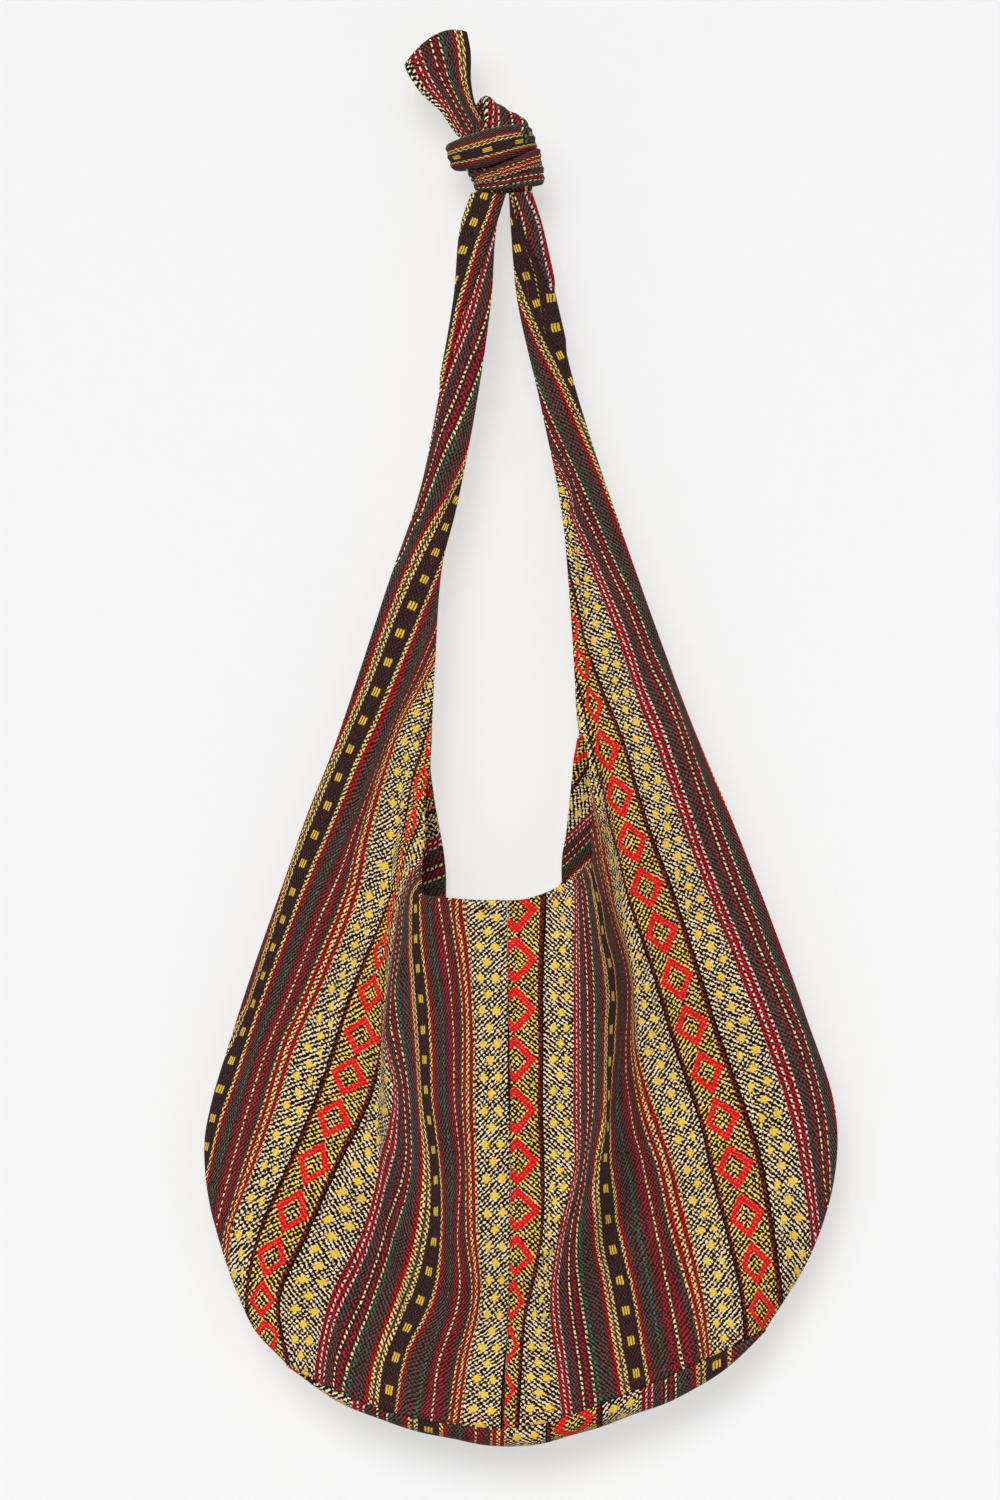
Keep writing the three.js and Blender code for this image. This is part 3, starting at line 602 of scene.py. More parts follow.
def half_rows():
    body, mouth = np.linspace(0, 1, BODY_ROWS), np.linspace(1, 2, MOUTH_ROWS)
    return np.concatenate([body, mouth[1:], np.linspace(2, 3, ARM_ROWS)[1:]])


def half_columns():
    belly = np.linspace(-1, 0, BELLY_COLUMNS)[:-1]
    wall = np.linspace(0, WALL_END, WALL_COLUMNS)[:-1]
    side = WALL_END + (1 - WALL_END) * np.sin(np.linspace(0, np.pi / 2, SIDE_COLUMNS))
    back_side = np.sin(np.linspace(np.pi / 2, 0, BACK_SIDE_COLUMNS))[1:]
    back_belly = np.linspace(0, -1, BACK_BELLY_COLUMNS)[1:]
    return np.concatenate([belly, wall, side]), np.concatenate([back_side, back_belly])


# Turned hem of the mouth and the arms: width, lift, half width of its soft edge; and a distance past any hem
HEM, HEM_LIFT, HEM_EDGE, NO_HEM = 9.0, 0.6, 1.5, 99.0
# Small rolls beside the end of the rim: rows (place across the front, half width, height)
TUCK_ROLLS = [(0.18, 0.022, 1.0), (0.24, 0.02, -0.6)]


def half_cloth(name, half, material):
    """One half of the bag as a single sheet: front, round the side fold, back, and the arm."""
    level = half_rows()[:, None]
    front_s, back_s = half_columns()
    cut = len(front_s)
    front = half_points(half, level, front_s[None], False)
    back = half_points(half, level, back_s[None], True)
    near_rim = rise(level, 0.55, 0.7) * (1 - rise(level, 1.0, 1.25))
    roll = sum(height * np.exp(-(((front_s - at) / wide) ** 2)) for at, wide, height in TUCK_ROLLS)
    front[..., 0] += half["side"] * half["tuck"] * near_rim * roll
    points = np.concatenate([front, back], 1)
    s = np.concatenate([front_s, back_s])[None]
    used = ~((s < 0) & (level > 1 + 1e-9))

    yarn = np.empty(points.shape[:2])
    yarn[:, :cut] = yarn_numbers(half["yarns"], front[..., 0], front[..., 2])
    way = np.cumsum(np.linalg.norm(np.diff(points[:, cut - 1:], axis=1), axis=-1), axis=1)
    rim = int(np.argmin(np.abs(level - 1)))
    spread = np.where(level < 1, way[rim, -1] / way[:, -1:], 1.0)
    yarn[:, cut:] = yarn[:, cut - 1:cut] + half["side"] * spread * way / YARN
    weave, pick = cloth_maps(points, yarn, used)
    pick[:, :cut] = set_motifs(half["motifs"], points[:, :cut], yarn[:, :cut], pick[:, :cut])

    b = np.maximum(0, s)
    out = grid_normals(points) * half["side"]
    below_rim = np.where(s < 0, (1 - level) * (DROP - RIM_DROP), NO_HEM)
    from_edge = np.where(level > 1, b * front_width(half, level), below_rim)
    hem = HEM_LIFT * (1 - rise(from_edge, HEM - HEM_EDGE, HEM + HEM_EDGE))
    calm = rise(level, 0, 0.05) * arm_calm(level)
    calm = calm * np.where(s < 0, rise(s, -1, -0.92), 1.0) * (1 - 0.9 * rise(b, 0.7, 0.9))
    fold = np.zeros(yarn.shape)
    fold[:, :cut] = fold_heights(half["folds"], points[:, :cut])
    points += out * (hem + calm * cloth_waves(points, half["seed"]))[..., None]
    points[..., 1] -= fold
    return cloth_mesh(name, points, yarn, pick, used, half["side"] < 0, material, weave), points


# Arm edges turned over under the knot: rows (level, share of the arm left uncovered), warp lines and blocks
LEFT_TURN = {
    "edge": [
        (2.675, 0.98), (2.75, 0.85), (2.823, 0.78), (2.86, 0.6), (2.9, 0.29), (2.935, 0.1), (2.96, 0), (3, 0),
    ],
    "yarns": [
        (-74, [(485.6, 196.6), (474.8, 223), (464.8, 250.5), (457.4, 279.6), (452, 300), (447.5, 330),
               (440, 362), (432, 390)]),
        (-65.5, [(496, 200), (487, 228), (481, 243), (474, 268), (468, 290)]),
        (-85.5, [(466, 205), (458, 228), (449, 255), (443, 285)]),
    ],
    "motifs": [
        (-74, BLOCK_PICKS, [(485.6, 196.6), (474.8, 223), (464.8, 250.5), (457.4, 279.6), (451, 312)]),
    ],
}
RIGHT_TURN = {
    "edge": [(2.751, 0.98), (2.792, 0.58), (2.85, 0.62), (2.89, 0.6), (2.946, 0.3), (3, 0.25)],
    "yarns": [
        (220, [(522, 212), (532, 240), (543.6, 269), (548.6, 298.6), (553.5, 328.5), (560, 355)]),
        (227, [(510, 212), (520, 240), (531, 269), (537, 298.6), (542, 328.5), (548, 355)]),
        (210, [(540, 212), (550, 240), (561, 269), (566, 298.6), (571, 328.5), (577, 355)]),
    ],
    "motifs": [(220, BLOCK_PICKS, [(532, 240), (543.6, 269), (548.6, 298.6), (553.5, 328.5)])],
}
RIGHT_SECOND_TURN = {
    "edge": [(2.846, 0.985), (2.87, 0.9), (2.9, 0.74), (2.93, 0.5), (2.964, 0.3), (3, 0.22)],
    "yarns": [
        (184.5, [(524, 192), (535, 215), (542.5, 250), (548, 275)]),
        (196, [(509, 192), (518, 215), (525, 250)]),
        (178, [(534, 192), (545, 215), (552.5, 250)]),
    ],
    "motifs": [],
}
# A turned edge: its lift, the share of that at its fold, its grid, and how near it comes to the side fold
TURN_LIFT, TURN_AT_FOLD = 1.7, 0.45
TURN_ROWS, TURN_COLUMNS = 60, 18
TURN_END = 0.999


def turn_lift(share, layers=1):
    """Lift of a turned edge over the layers under it, lower near its fold."""
    return TURN_LIFT * (layers - 1 + mix(TURN_AT_FOLD, 1.0, rise(share, 0, 0.12)))


def turned_edge(name, half, turn, layers, material):
    """Outer edge of an arm folded over its front, just under the knot."""
    level = np.linspace(turn["edge"][0][0], 3, TURN_ROWS)[:, None]
    start = np.interp(level, *zip(*turn["edge"]))
    share = np.sin(np.linspace(0, np.pi / 2, TURN_COLUMNS))[None]
    points = half_points(half, level, mix(start, TURN_END, share), False)
    yarn = yarn_numbers(turn["yarns"], points[..., 0], points[..., 2])
    used = np.ones(yarn.shape, bool)
    weave, pick = cloth_maps(points, yarn, used)
    pick = set_motifs(turn["motifs"], points, yarn, pick)
    laid = rise(level, level[0], level[0] + 0.035)
    points += grid_normals(points) * (half["side"] * turn_lift(share, layers) * laid)[..., None]
    return cloth_mesh(name, points, yarn, pick, used, half["side"] < 0, material, weave)


# Edge of the back turned in beside the mouth: its width, its grid, and its warp lines
MOUTH_HEM = 20.0
MOUTH_HEM_ROWS, MOUTH_HEM_COLUMNS = 70, 16
RIGHT_MOUTH_HEM = [
    (-13, [(573, 739), (588, 718)]), (0, [(572, 763), (584, 746)]),
    (13, [(570, 792), (584, 772), (592, 760)]), (34.5, [(567, 836), (580, 823), (592, 811.5), (600, 804)]),
    (40.5, [(567, 845), (580, 832.5), (593, 820), (602, 811)]), (52, [(564, 866), (580, 850), (598, 832)]),
    (62, [(560, 886), (580, 868), (600, 848)]),
]
LEFT_MOUTH_HEM = [
    (-13, [(424, 752), (434, 748)]), (0, [(424, 786), (434, 782)]), (13, [(426, 817), (438, 811)]),
    (34.5, [(428, 840), (440, 834)]), (40.5, [(430, 850), (440, 845)]), (47, [(432, 869.5), (441, 865.5)]),
    (52, [(432, 881), (442, 877)]), (58, [(434, 893), (444, 889)]),
]


def mouth_hem(name, half, material):
    """Edge of the back turned in beside the mouth, seen through it."""
    level = np.linspace(1.0, 2.05, MOUTH_HEM_ROWS)[:, None]
    width = np.linalg.norm(follow(half["fold"], level) - np.stack(back_inner(half, level), -1), axis=-1)
    share = np.linspace(0, 1, MOUTH_HEM_COLUMNS)[None]
    points = half_points(half, level, share * MOUTH_HEM / width, True)
    yarn = yarn_numbers(half["hem_yarns"], points[..., 0], points[..., 2])
    used = np.ones(yarn.shape, bool)
    weave, pick = cloth_maps(points, yarn, used)
    points[..., 1] += arm_calm(level) * cloth_waves(points, half["seed"]) - turn_lift(share)
    return cloth_mesh(name, points, yarn, pick, used, half["side"] < 0, material, weave)


# A half: side, guides, sag of the bottom, pleats, tuck at the rim, how far the back's hem is in, its pattern
RIGHT = {
    "side": 1, "seed": 21, "fold": RIGHT_FOLD, "inner": RIGHT_INNER, "wall": RIGHT_WALL,
    "sag": 3, "pleats": 1.5, "tuck": 0.0, "hem_in": 4.0,
    "yarns": RIGHT_YARNS, "motifs": RIGHT_MOTIFS, "folds": RIGHT_FOLDS, "hem_yarns": RIGHT_MOUTH_HEM,
}
LEFT = {
    "side": -1, "seed": 11, "fold": LEFT_FOLD, "inner": LEFT_INNER, "wall": LEFT_WALL,
    "sag": 7, "pleats": 2.0, "tuck": 3.5, "hem_in": 0.0,
    "yarns": LEFT_YARNS, "motifs": LEFT_MOTIFS, "folds": LEFT_FOLDS, "hem_yarns": LEFT_MOUTH_HEM,
}

# Warp of the cloth, one repeat from the left edge of the diamond band: colour, yarns
DRAFT = [
    ("yellow", 23), ("magenta", 1), ("maroon", 1), ("black", 1), ("cream", 20), ("red", 2), ("white", 1),
    ("red", 2), ("white", 1), ("dark", 4), ("magenta", 1), ("plum", 1), ("pale_yellow", 1), ("plum", 1),
    ("magenta", 2), ("plum", 1), ("pale_yellow", 1), ("dark", 1), ("green", 1), ("dark", 6), ("red", 2),
    ("gold", 2), ("dark", 1), ("gold", 2), ("plum", 11), ("gold", 2), ("red", 2), ("dark", 6), ("green", 1),
    ("dark", 1), ("maroon", 3), ("magenta", 2), ("maroon", 1), ("pale_yellow", 1), ("maroon", 1),
    ("magenta", 2), ("maroon", 2), ("dark", 2), ("gold", 1), ("red", 2), ("gold", 2), ("red", 2),
    ("gold", 1), ("cream", 20), ("black", 1), ("maroon", 1), ("magenta", 1),
]
# Yarns from that edge to the middle of the diamonds, and where the draft is cut for two colour ramps
DRAFT_START, DRAFT_SPLIT = 11.5, 72
# Yarns as dyed, in screen values
DYES = {
    "yellow": (250, 218, 114), "gold": (248, 216, 128), "pale_yellow": (250, 230, 160),
    "red": (208, 18, 36), "black": (18, 10, 10), "cream": (250, 228, 186), "white": (244, 220, 202),
    "dark": (96, 74, 72), "plum": (64, 46, 52), "maroon": (120, 57, 58), "magenta": (184, 34, 58),
    "green": (46, 122, 100), "weft": (30, 12, 0), "stripe_weft": (46, 25, 16), "diamond": (224, 14, 32),
    "dot": (248, 202, 66),
}
# Weave of the wide bands, in millimetres from one warp-over to the next, across and along the warp
WEAVE_ACROSS, WEAVE_ALONG = 3.6, 3.4
WIDE_BANDS = 34.5
# How far the weave wanders in the wide bands, in millimetres
WEAVE_WANDER = 3.2
# Cover of the warp: contrast of the crossings, part of the slubs, change in the wide bands, base
CROSSING_CONTRAST, SLUB_COVER, BAND_COVER, BASE_COVER = 3.0, 8.0, -0.6, -3.74
# Patches of twill: contrast and base of their noise
TWILL_CONTRAST, TWILL_BASE = 1.6, -0.6
# Motifs: how much their picks stand out from one another, and their height over the weave
PICK_CONTRAST, MOTIF_HEIGHT = 0.25, 0.8
# Fraying of dots and blocks, in millimetres
DOT_FRAY, BLOCK_FRAY = 3.0, 2.0
# Noise over the weave map, (scale, detail): wander of yarns, slubs, patches of twill
WANDER_NOISE, SLUB_NOISE, PATCH_NOISE = (0.4, 2.0), (0.9, 3.0), (0.06, 1.0)
# Noise over the object: worn places, unevenness of the thread
WEAR_NOISE, THREAD_NOISE = (22.0, 4.0), (900.0, 2.0)
# Brightness: least, part of the single yarns, part of the worn places
LEAST_SHADE, YARN_SHADE, WEAR_SHADE = 0.8, 0.14, 0.3


def dyed(name):
    """Scene-linear colour of a yarn."""
    c = np.array(DYES[name]) / 255.0
    linear = np.where(c <= 0.04045, c / 12.92, ((c + 0.055) / 1.055) ** 2.4)
    return (*linear.tolist(), 1.0)


class Nodes:
    """Short hand for the nodes of a material or of the world."""

    def __init__(self, owner, shader="Principled BSDF"):
        owner.use_nodes = True
        self.tree = owner.node_tree
        self.shader = self.tree.nodes[shader]

    def put(self, sockets, values):
        """Links or plain values put into sockets by name or number."""
        for key, value in values.items():
            if isinstance(value, bpy.types.NodeSocket):
                self.tree.links.new(value, sockets[key])
            else:
                sockets[key].default_value = value

    def new(self, kind, values=None, **settings):
        node = self.tree.nodes.new(kind)
        for key, value in settings.items():
            setattr(node, key, value)
        self.put(node.inputs, values or {})
        return node

    def math(self, operation, *values, clamp=False):
        given = dict(enumerate(values))
        return self.new("ShaderNodeMath", given, operation=operation, use_clamp=clamp).outputs[0]

    def mix(self, factor, a, b):
        """Colour between two colours."""
        node = self.new("ShaderNodeMix", data_type="RGBA")
        sockets = {socket.identifier: socket for socket in node.inputs}
        self.put(sockets, {"Factor_Float": factor, "A_Color": a, "B_Color": b})
        return next(socket for socket in node.outputs if socket.identifier == "Result_Color")

    def noise(self, place, size):
        scale, detail = size
        return self.new("ShaderNodeTexNoise", {"Vector": place, "Scale": scale, "Detail": detail}).outputs

    def object_place(self):
        return self.new("ShaderNodeTexCoord").outputs["Object"]

    def centred(self, value, period, centre=0.0):
        """Distance to the nearest multiple of a period, counted from a centre."""
        moved = self.math("ADD", value, period / 2 - centre)
        return self.math("SUBTRACT", self.math("FLOORED_MODULO", moved, period), period / 2)

    def below(self, value, limit, soft):
        """1 where the value is under a limit, with a soft edge."""
        node = self.new("ShaderNodeMapRange", interpolation_type="SMOOTHSTEP")
        ends = {"From Min": limit - soft, "From Max": limit + soft, "To Min": 1.0, "To Max": 0.0}
        self.put(node.inputs, {"Value": value, **ends})
        return node.outputs[0]


def draft_ramp(n, place, first, last):
    """Constant colour steps for the yarns of the draft from first to last."""
    within = n.math("DIVIDE", n.math("SUBTRACT", place, float(first)), float(last - first))
    ramp = n.new("ShaderNodeValToRGB", {0: within})
    ramp.color_ramp.interpolation = "CONSTANT"
    stops = ramp.color_ramp.elements
    yarn, filled = 0, 0
    for colour, count in DRAFT:
        if first <= yarn < last:
            at = (yarn - first) / (last - first)
            stop = stops[filled] if filled < 2 else stops.new(at)
            stop.position, stop.color = at, dyed(colour)
            filled += 1
        yarn += count
    return ramp.outputs[0]


def crossings(n, from_start, x, banded, weave_u, weave_v, patches):
    """Warp over weft at 1, under it at -1: plain weave, with patches of twill that lean to both sides."""
    in_stripes = n.math("MULTIPLY", from_start, math.pi)
    in_bands = n.math("MULTIPLY", weave_u, 2 * math.pi / WEAVE_ACROSS)
    across = n.math("MULTIPLY_ADD", banded, n.math("SUBTRACT", in_bands, in_stripes), in_stripes)
    along = n.math("MULTIPLY", weave_v, 2 * math.pi / WEAVE_ALONG)
    rising = n.math("COSINE", n.math("SUBTRACT", across, along))
    falling = n.math("COSINE", n.math("ADD", across, along))
    plain = n.math("MULTIPLY", n.math("SUBTRACT", rising, falling), 0.5)
    to_left = n.below(x, 0.0, 0.1)
    twill = n.math("MULTIPLY_ADD", to_left, n.math("ADD", rising, falling), n.math("MULTIPLY", falling, -1.0))
    lean = n.math("MULTIPLY_ADD", patches, TWILL_CONTRAST, TWILL_BASE, clamp=True)
    return n.math("MULTIPLY_ADD", lean, n.math("SUBTRACT", twill, plain), plain)


def diamonds(n, wide, stepped):
    """Open diamonds one above the other, with stepped edges and cut tips."""
    y = n.math("ABSOLUTE", n.math("MULTIPLY", n.centred(stepped, DIAMOND_PICKS), PICK))
    ring = n.math("ADD", n.math("DIVIDE", wide, DIAMOND_HALF_WIDTH), n.math("DIVIDE", y, DIAMOND_HALF_HEIGHT))
    outer, inner = (n.below(ring, edge, DIAMOND_SOFT) for edge in (DIAMOND_LINE, DIAMOND_OPENING))
    cut = n.below(y, DIAMOND_TIP * DIAMOND_HALF_HEIGHT, 0.3)
    return n.math("MULTIPLY", n.math("SUBTRACT", outer, inner), cut)


def dots(n, wide, stepped, slubs):
    """Frayed dots, two and one by turns, in the bands on both sides of the diamonds."""
    dot_x = n.math("ABSOLUTE", n.math("SUBTRACT", wide, DOT_BAND * YARN))
    spots = []
    for shift, side in ((0.0, DOT_SIDE), (DOT_PICKS / 2, 0.0)):
        row = n.math("ABSOLUTE", n.math("MULTIPLY", n.centred(stepped, DOT_PICKS, shift), PICK))
        column = n.math("ABSOLUTE", n.math("SUBTRACT", dot_x, side))
        away = n.math("MULTIPLY", n.math("ADD", row, column), DOT_SLANT)
        frayed = n.math("MULTIPLY_ADD", slubs, DOT_FRAY, n.math("SUBTRACT", away, DOT_FRAY / 2))
        spots.append(n.below(frayed, DOT_RADIUS, 0.4))
    return n.math("MAXIMUM", *spots)


def blocks(n, u, v, slubs):
    """Small frayed blocks of bars, one above the other."""
    frayed = n.math("MULTIPLY_ADD", slubs, BLOCK_FRAY, -BLOCK_FRAY / 2)
    x = n.math("MULTIPLY", n.centred(u, float(REPEAT), BLOCK_BAND), YARN)
    y = n.math("MULTIPLY", n.centred(v, BLOCK_PICKS), PICK)
    bars = n.math("COSINE", n.math("MULTIPLY", x, math.pi * BLOCK_BARS / BLOCK_HALF))
    block = n.below(n.math("MULTIPLY", bars, -1.0), BAR_FILL, 0.3)
    for side in (x, y):
        within = n.below(n.math("ADD", n.math("ABSOLUTE", side), frayed), BLOCK_HALF, 0.25)
        block = n.math("MULTIPLY", block, within)
    return block


def woven_cloth():
    """Plain weave in striped warp and dark weft, with diamonds, dots and blocks in extra weft."""
    material = bpy.data.materials.new("striped_cloth")
    n = Nodes(material)
    yarns, weave = (n.new("ShaderNodeUVMap", uv_map=label).outputs[0] for label in ("yarns", "weave"))
    uneven = n.noise(weave, WANDER_NOISE)["Color"]
    slubs, patches = (n.noise(weave, size)["Fac"] for size in (SLUB_NOISE, PATCH_NOISE))
    yarn_map, weave_map, wander = (
        n.new("ShaderNodeSeparateXYZ", {0: given}).outputs for given in (yarns, weave, uneven)
    )
    off = [n.math("SUBTRACT", wander[k], 0.5) for k in (0, 1)]
    u, v = (n.math("ADD", yarn_map[k], off[k]) for k in (0, 1))
    weave_u, weave_v = (n.math("MULTIPLY_ADD", off[k], WEAVE_WANDER, weave_map[k]) for k in (0, 1))

    from_start = n.math("ADD", u, DRAFT_START)
    yarn = n.math("FLOOR", from_start)
    place = n.math("ADD", n.math("FLOORED_MODULO", yarn, float(REPEAT)), 0.5)
    late = n.math("GREATER_THAN", place, float(DRAFT_SPLIT))
    warp = n.mix(late, draft_ramp(n, place, 0, DRAFT_SPLIT), draft_ramp(n, place, DRAFT_SPLIT, REPEAT))

    x = n.math("MULTIPLY", n.centred(u, float(REPEAT)), YARN)
    wide = n.math("ABSOLUTE", x)
    banded = n.below(wide, WIDE_BANDS * YARN, 0.1)
    cross = crossings(n, from_start, x, banded, weave_u, weave_v, patches)
    cover = n.math("MULTIPLY_ADD", slubs, SLUB_COVER, n.math("MULTIPLY_ADD", banded, BAND_COVER, BASE_COVER))
    warp_on_top = n.math("MULTIPLY_ADD", cross, CROSSING_CONTRAST, cover, clamp=True)
    weft = n.mix(banded, dyed("stripe_weft"), dyed("weft"))
    colour = n.mix(warp_on_top, weft, warp)

    stepped = n.math("ADD", n.math("FLOOR", v), 0.5)
    between = n.math("ABSOLUTE", n.math("SINE", n.math("MULTIPLY", v, math.pi)))
    pick_row = n.math("MULTIPLY_ADD", between, PICK_CONTRAST, 1 - PICK_CONTRAST)
    diamond, dot, block = diamonds(n, wide, stepped), dots(n, wide, stepped, slubs), blocks(n, u, v, slubs)
    for mask, dye in ((diamond, "diamond"), (dot, "dot"), (block, "dot")):
        colour = n.mix(n.math("MULTIPLY", mask, pick_row), colour, dyed(dye))
    motif = n.math("MAXIMUM", n.math("MAXIMUM", diamond, dot), block)

    single = n.new("ShaderNodeTexWhiteNoise", {"W": yarn}, noise_dimensions="1D").outputs["Value"]
    worn = n.noise(n.object_place(), WEAR_NOISE)["Fac"]
    shade = n.math("ADD", n.math("MULTIPLY", single, YARN_SHADE), n.math("MULTIPLY", worn, WEAR_SHADE))
    value = n.math("ADD", shade, LEAST_SHADE)
    tone = n.new("ShaderNodeHueSaturation", {"Color": colour, "Value": value})
    height = n.math("ADD", n.math("SQRT", n.math("ABSOLUTE", cross)), n.math("MULTIPLY", motif, MOTIF_HEIGHT))
    bump = n.new("ShaderNodeBump", {"Strength": 0.55, "Distance": 0.0006, "Height": height})
    n.put(n.shader.inputs, {
        "Base Color": tone.outputs[0], "Normal": bump.outputs[0], "Roughness": 0.9,
        "Specular IOR Level": 0.06, "Sheen Weight": 0.02, "Sheen Roughness": 0.5,
    })
    return material


def sewing_thread():
    """Twisted cotton thread, a little uneven in colour."""
    material = bpy.data.materials.new("sewing_thread")
    n = Nodes(material)
    uneven = n.noise(n.object_place(), THREAD_NOISE)["Fac"]
    colour = n.mix(uneven, dyed("black"), dyed("magenta"))
    n.put(n.shader.inputs, {"Base Color": colour, "Roughness": 0.8})
    return material


# Gusset: grid lines, and in drawing units the place of its band of blocks and the width of a yarn
GUSSET_BELLY_COLUMNS, GUSSET_SIDE_COLUMNS, GUSSET_ROWS = 41, 56, 33
GUSSET_STRIPE_X, GUSSET_YARN = 429, 1.95
GUSSET_SEED = 31


def gusset_cloth(material):
    """Bottom strip hung between the lower edges of front and back; its stripes run across it."""
    belly = np.linspace(-1, 0, GUSSET_BELLY_COLUMNS)[:-1]
    reach = np.concatenate([belly, np.sin(np.linspace(0, np.pi / 2, GUSSET_SIDE_COLUMNS))])
    edges = []
    for half, order in ((LEFT, reach[:0:-1]), (RIGHT, reach)):
        front, back = half_points(half, 0, order, False), half_points(half, 0, order, True)
        front[:, 1] = np.minimum(front[:, 1], -CLOTH)
        back[:, 1] = np.maximum(back[:, 1], CLOTH)
        edges.append((front, back, np.maximum(0, order)))
    front, back, b = (np.concatenate(part) for part in zip(*edges))
    turn = np.linspace(0, np.pi, GUSSET_ROWS)[:, None]
    share = 0.5 - 0.5 * np.sign(np.cos(turn)) * np.abs(np.cos(turn)) ** 0.6
    points = mix(front[None], back[None], share[..., None])
    clear = SEAM_GAP * (1 + 2.5 * b ** 8)
    hang = GUSSET_HANG * (1 + GUSSET_LEAN * points[..., 0]) * (1 - b ** 5)
    points[..., 2] -= clear + hang * np.sin(turn) ** 0.8
    waves = ripples(points, GUSSET_SEED, *GUSSET_WAVES)[..., None]
    points += grid_normals(points) * waves * np.sin(turn)[..., None]
    yarn = BLOCK_BAND + (points[..., 0] / UNIT + DRAWN_X - GUSSET_STRIPE_X) / GUSSET_YARN
    step = np.linalg.norm(np.diff(points, axis=0), axis=-1)
    way = np.concatenate([np.zeros((1, len(b))), np.cumsum(step, axis=0)])
    pick = way / PICK - GUSSET_HANG / PICK / 2
    return cloth_mesh("bottom_gusset_cloth", points, yarn, pick, np.ones(yarn.shape, bool), True, material)


# Sides of a strand, and the height and closeness of its creases
STRAND_SIDES = 48
CREASE, CREASE_CLOSENESS = 0.5, 9


def strand(path, out, half_width, half_thick, yarns, closed, seed):
    """Flat creased strip of cloth along a path: points, and yarn and pick numbers, loop by loop."""
    path, out = np.array(path, float), np.array(out, float)
    ahead = unit(np.roll(path, -1, 0) - np.roll(path, 1, 0) if closed else np.gradient(path, axis=0))
    out = unit(out - ahead * (out * ahead).sum(1, keepdims=True))
    wide = np.cross(out, ahead)
    turn = np.linspace(0, 2 * np.pi, STRAND_SIDES + 1)
    c, s = np.cos(turn), np.sin(turn)
    across = np.sign(c) * np.abs(c) ** 0.7
    thick = np.sign(s) * np.abs(s) ** 0.6
    points = (
        path[:, None]
        + wide[:, None] * (np.reshape(half_width, (-1, 1, 1)) * across[None, :, None])
        + out[:, None] * (np.reshape(half_thick, (-1, 1, 1)) * thick[None, :, None])
    )
    shift = 1.0 + 4 * ripples(path, seed + 1, *CREASE_WAVES)[:, None]
    crease = CREASE * np.sin(CREASE_CLOSENESS * across + shift)
    uneven = ripples(points, seed, *KNOT_WAVES) + crease * np.sqrt(np.maximum(0, 1 - across ** 2))
    points += out[:, None] * (np.sign(s) * uneven)[..., None]
    if closed:
        points = np.concatenate([points, points[:1]])
    length = np.linalg.norm(np.diff(points.mean(1), axis=0), axis=1)
    pick = np.concatenate([[0], np.cumsum(length)]) / PICK
    yarn = mix(yarns[0], yarns[1], 0.5 - 0.5 * across)
    shape = points.shape[:2]
    return points, np.broadcast_to(yarn, shape), np.broadcast_to(pick[:, None], shape), closed


def strand_mesh(name, strands, material):
    """One mesh of several strands; closed strands meet themselves and open ends are capped."""
    verts, faces, uvs = [], [], []
    for points, yarn, pick, closed in strands:
        rows, around = points.shape[0] - (1 if closed else 0), points.shape[1] - 1
        base = len(verts)
        verts.extend(points[:rows, :around].reshape(-1, 3).tolist())
        for r in range(points.shape[0] - 1):
            for k in range(around):
                corners = [(r, k), (r, k + 1), (r + 1, k + 1), (r + 1, k)]
                faces.append([base + (i % rows) * around + j % around for i, j in corners])
                uvs.extend((yarn[i, j], pick[i, j]) for i, j in corners)
        for r, order in () if closed else ((0, -1), (rows - 1, 1)):
            faces.append([base + r * around + k for k in range(around)][::order])
            uvs.extend([(yarn[r, k], pick[r, k]) for k in range(around)][::order])
    numbers = np.array(uvs)
    maps = {"yarns": numbers, "weave": numbers * (YARN, PICK)}
    return smooth_cloth(name, np.array(verts), faces, maps, material)


# Steps round a wrap of the knot
WRAP_STEPS = 96


def wrap_strand(centre, rx, ry, tilt, arch, lift, half_width, half_thick, yarns, seed):
    """Closed wrap of the knot, tilted to one side; widths at the right, the front and the left."""
    a = np.linspace(0, 2 * np.pi, WRAP_STEPS + 1)[:-1]
    to_front, to_left = np.maximum(0, -np.sin(a)) ** 2, np.maximum(0, -np.cos(a)) ** 2
    level = np.stack([rx * np.cos(a), ry * np.sin(a), arch * to_front + lift * to_left], -1)
    away = np.stack([ry * np.cos(a), rx * np.sin(a), 0 * a], -1)
    c, s = math.cos(tilt), math.sin(tilt)
    lean = np.array([[c, 0, s], [0, 1, 0], [-s, 0, c]])
    right, front, left = half_width
    ends = mix((left + right) / 2, np.where(np.cos(a) > 0, right, left), np.abs(np.cos(a)))
    wide = mix(ends, front, to_front)
    return strand(level @ lean + centre, away @ lean, wide, half_thick, yarns, True, seed)


# Core of the knot: rows (height, half width, half depth)
KNOT_CORE = [
    (0, 18, 9), (5, 18.5, 12), (12, 18.5, 13.5), (22, 20, 15), (34, 19, 14), (44, 13, 11), (51, 7, 7),
]
CORE_BOTTOM, CORE_TOP, CORE_ROWS, CORE_SHIFT, CORE_YARNS = 0.3, 50.5, 28, (-1.5, -8), (40, 66)
UPPER_WRAP = {
    "centre": (-9.5, 0, 27.5), "rx": 24.5, "ry": 18, "tilt": 0.29, "arch": 1.5, "lift": 3.5,
    "half_width": (8.6, 11.6, 9.0), "half_thick": 4.6, "yarns": (52, 89), "seed": 62,
}
LOWER_WRAP = {
    "centre": (1.0, 0, 10.3), "rx": 19.0, "ry": 14.5, "tilt": 0.17, "arch": -1.0, "lift": 0.0,
    "half_width": (8.4, 7.6, 5.6), "half_thick": 4.2, "yarns": (33, 56), "seed": 64,
}
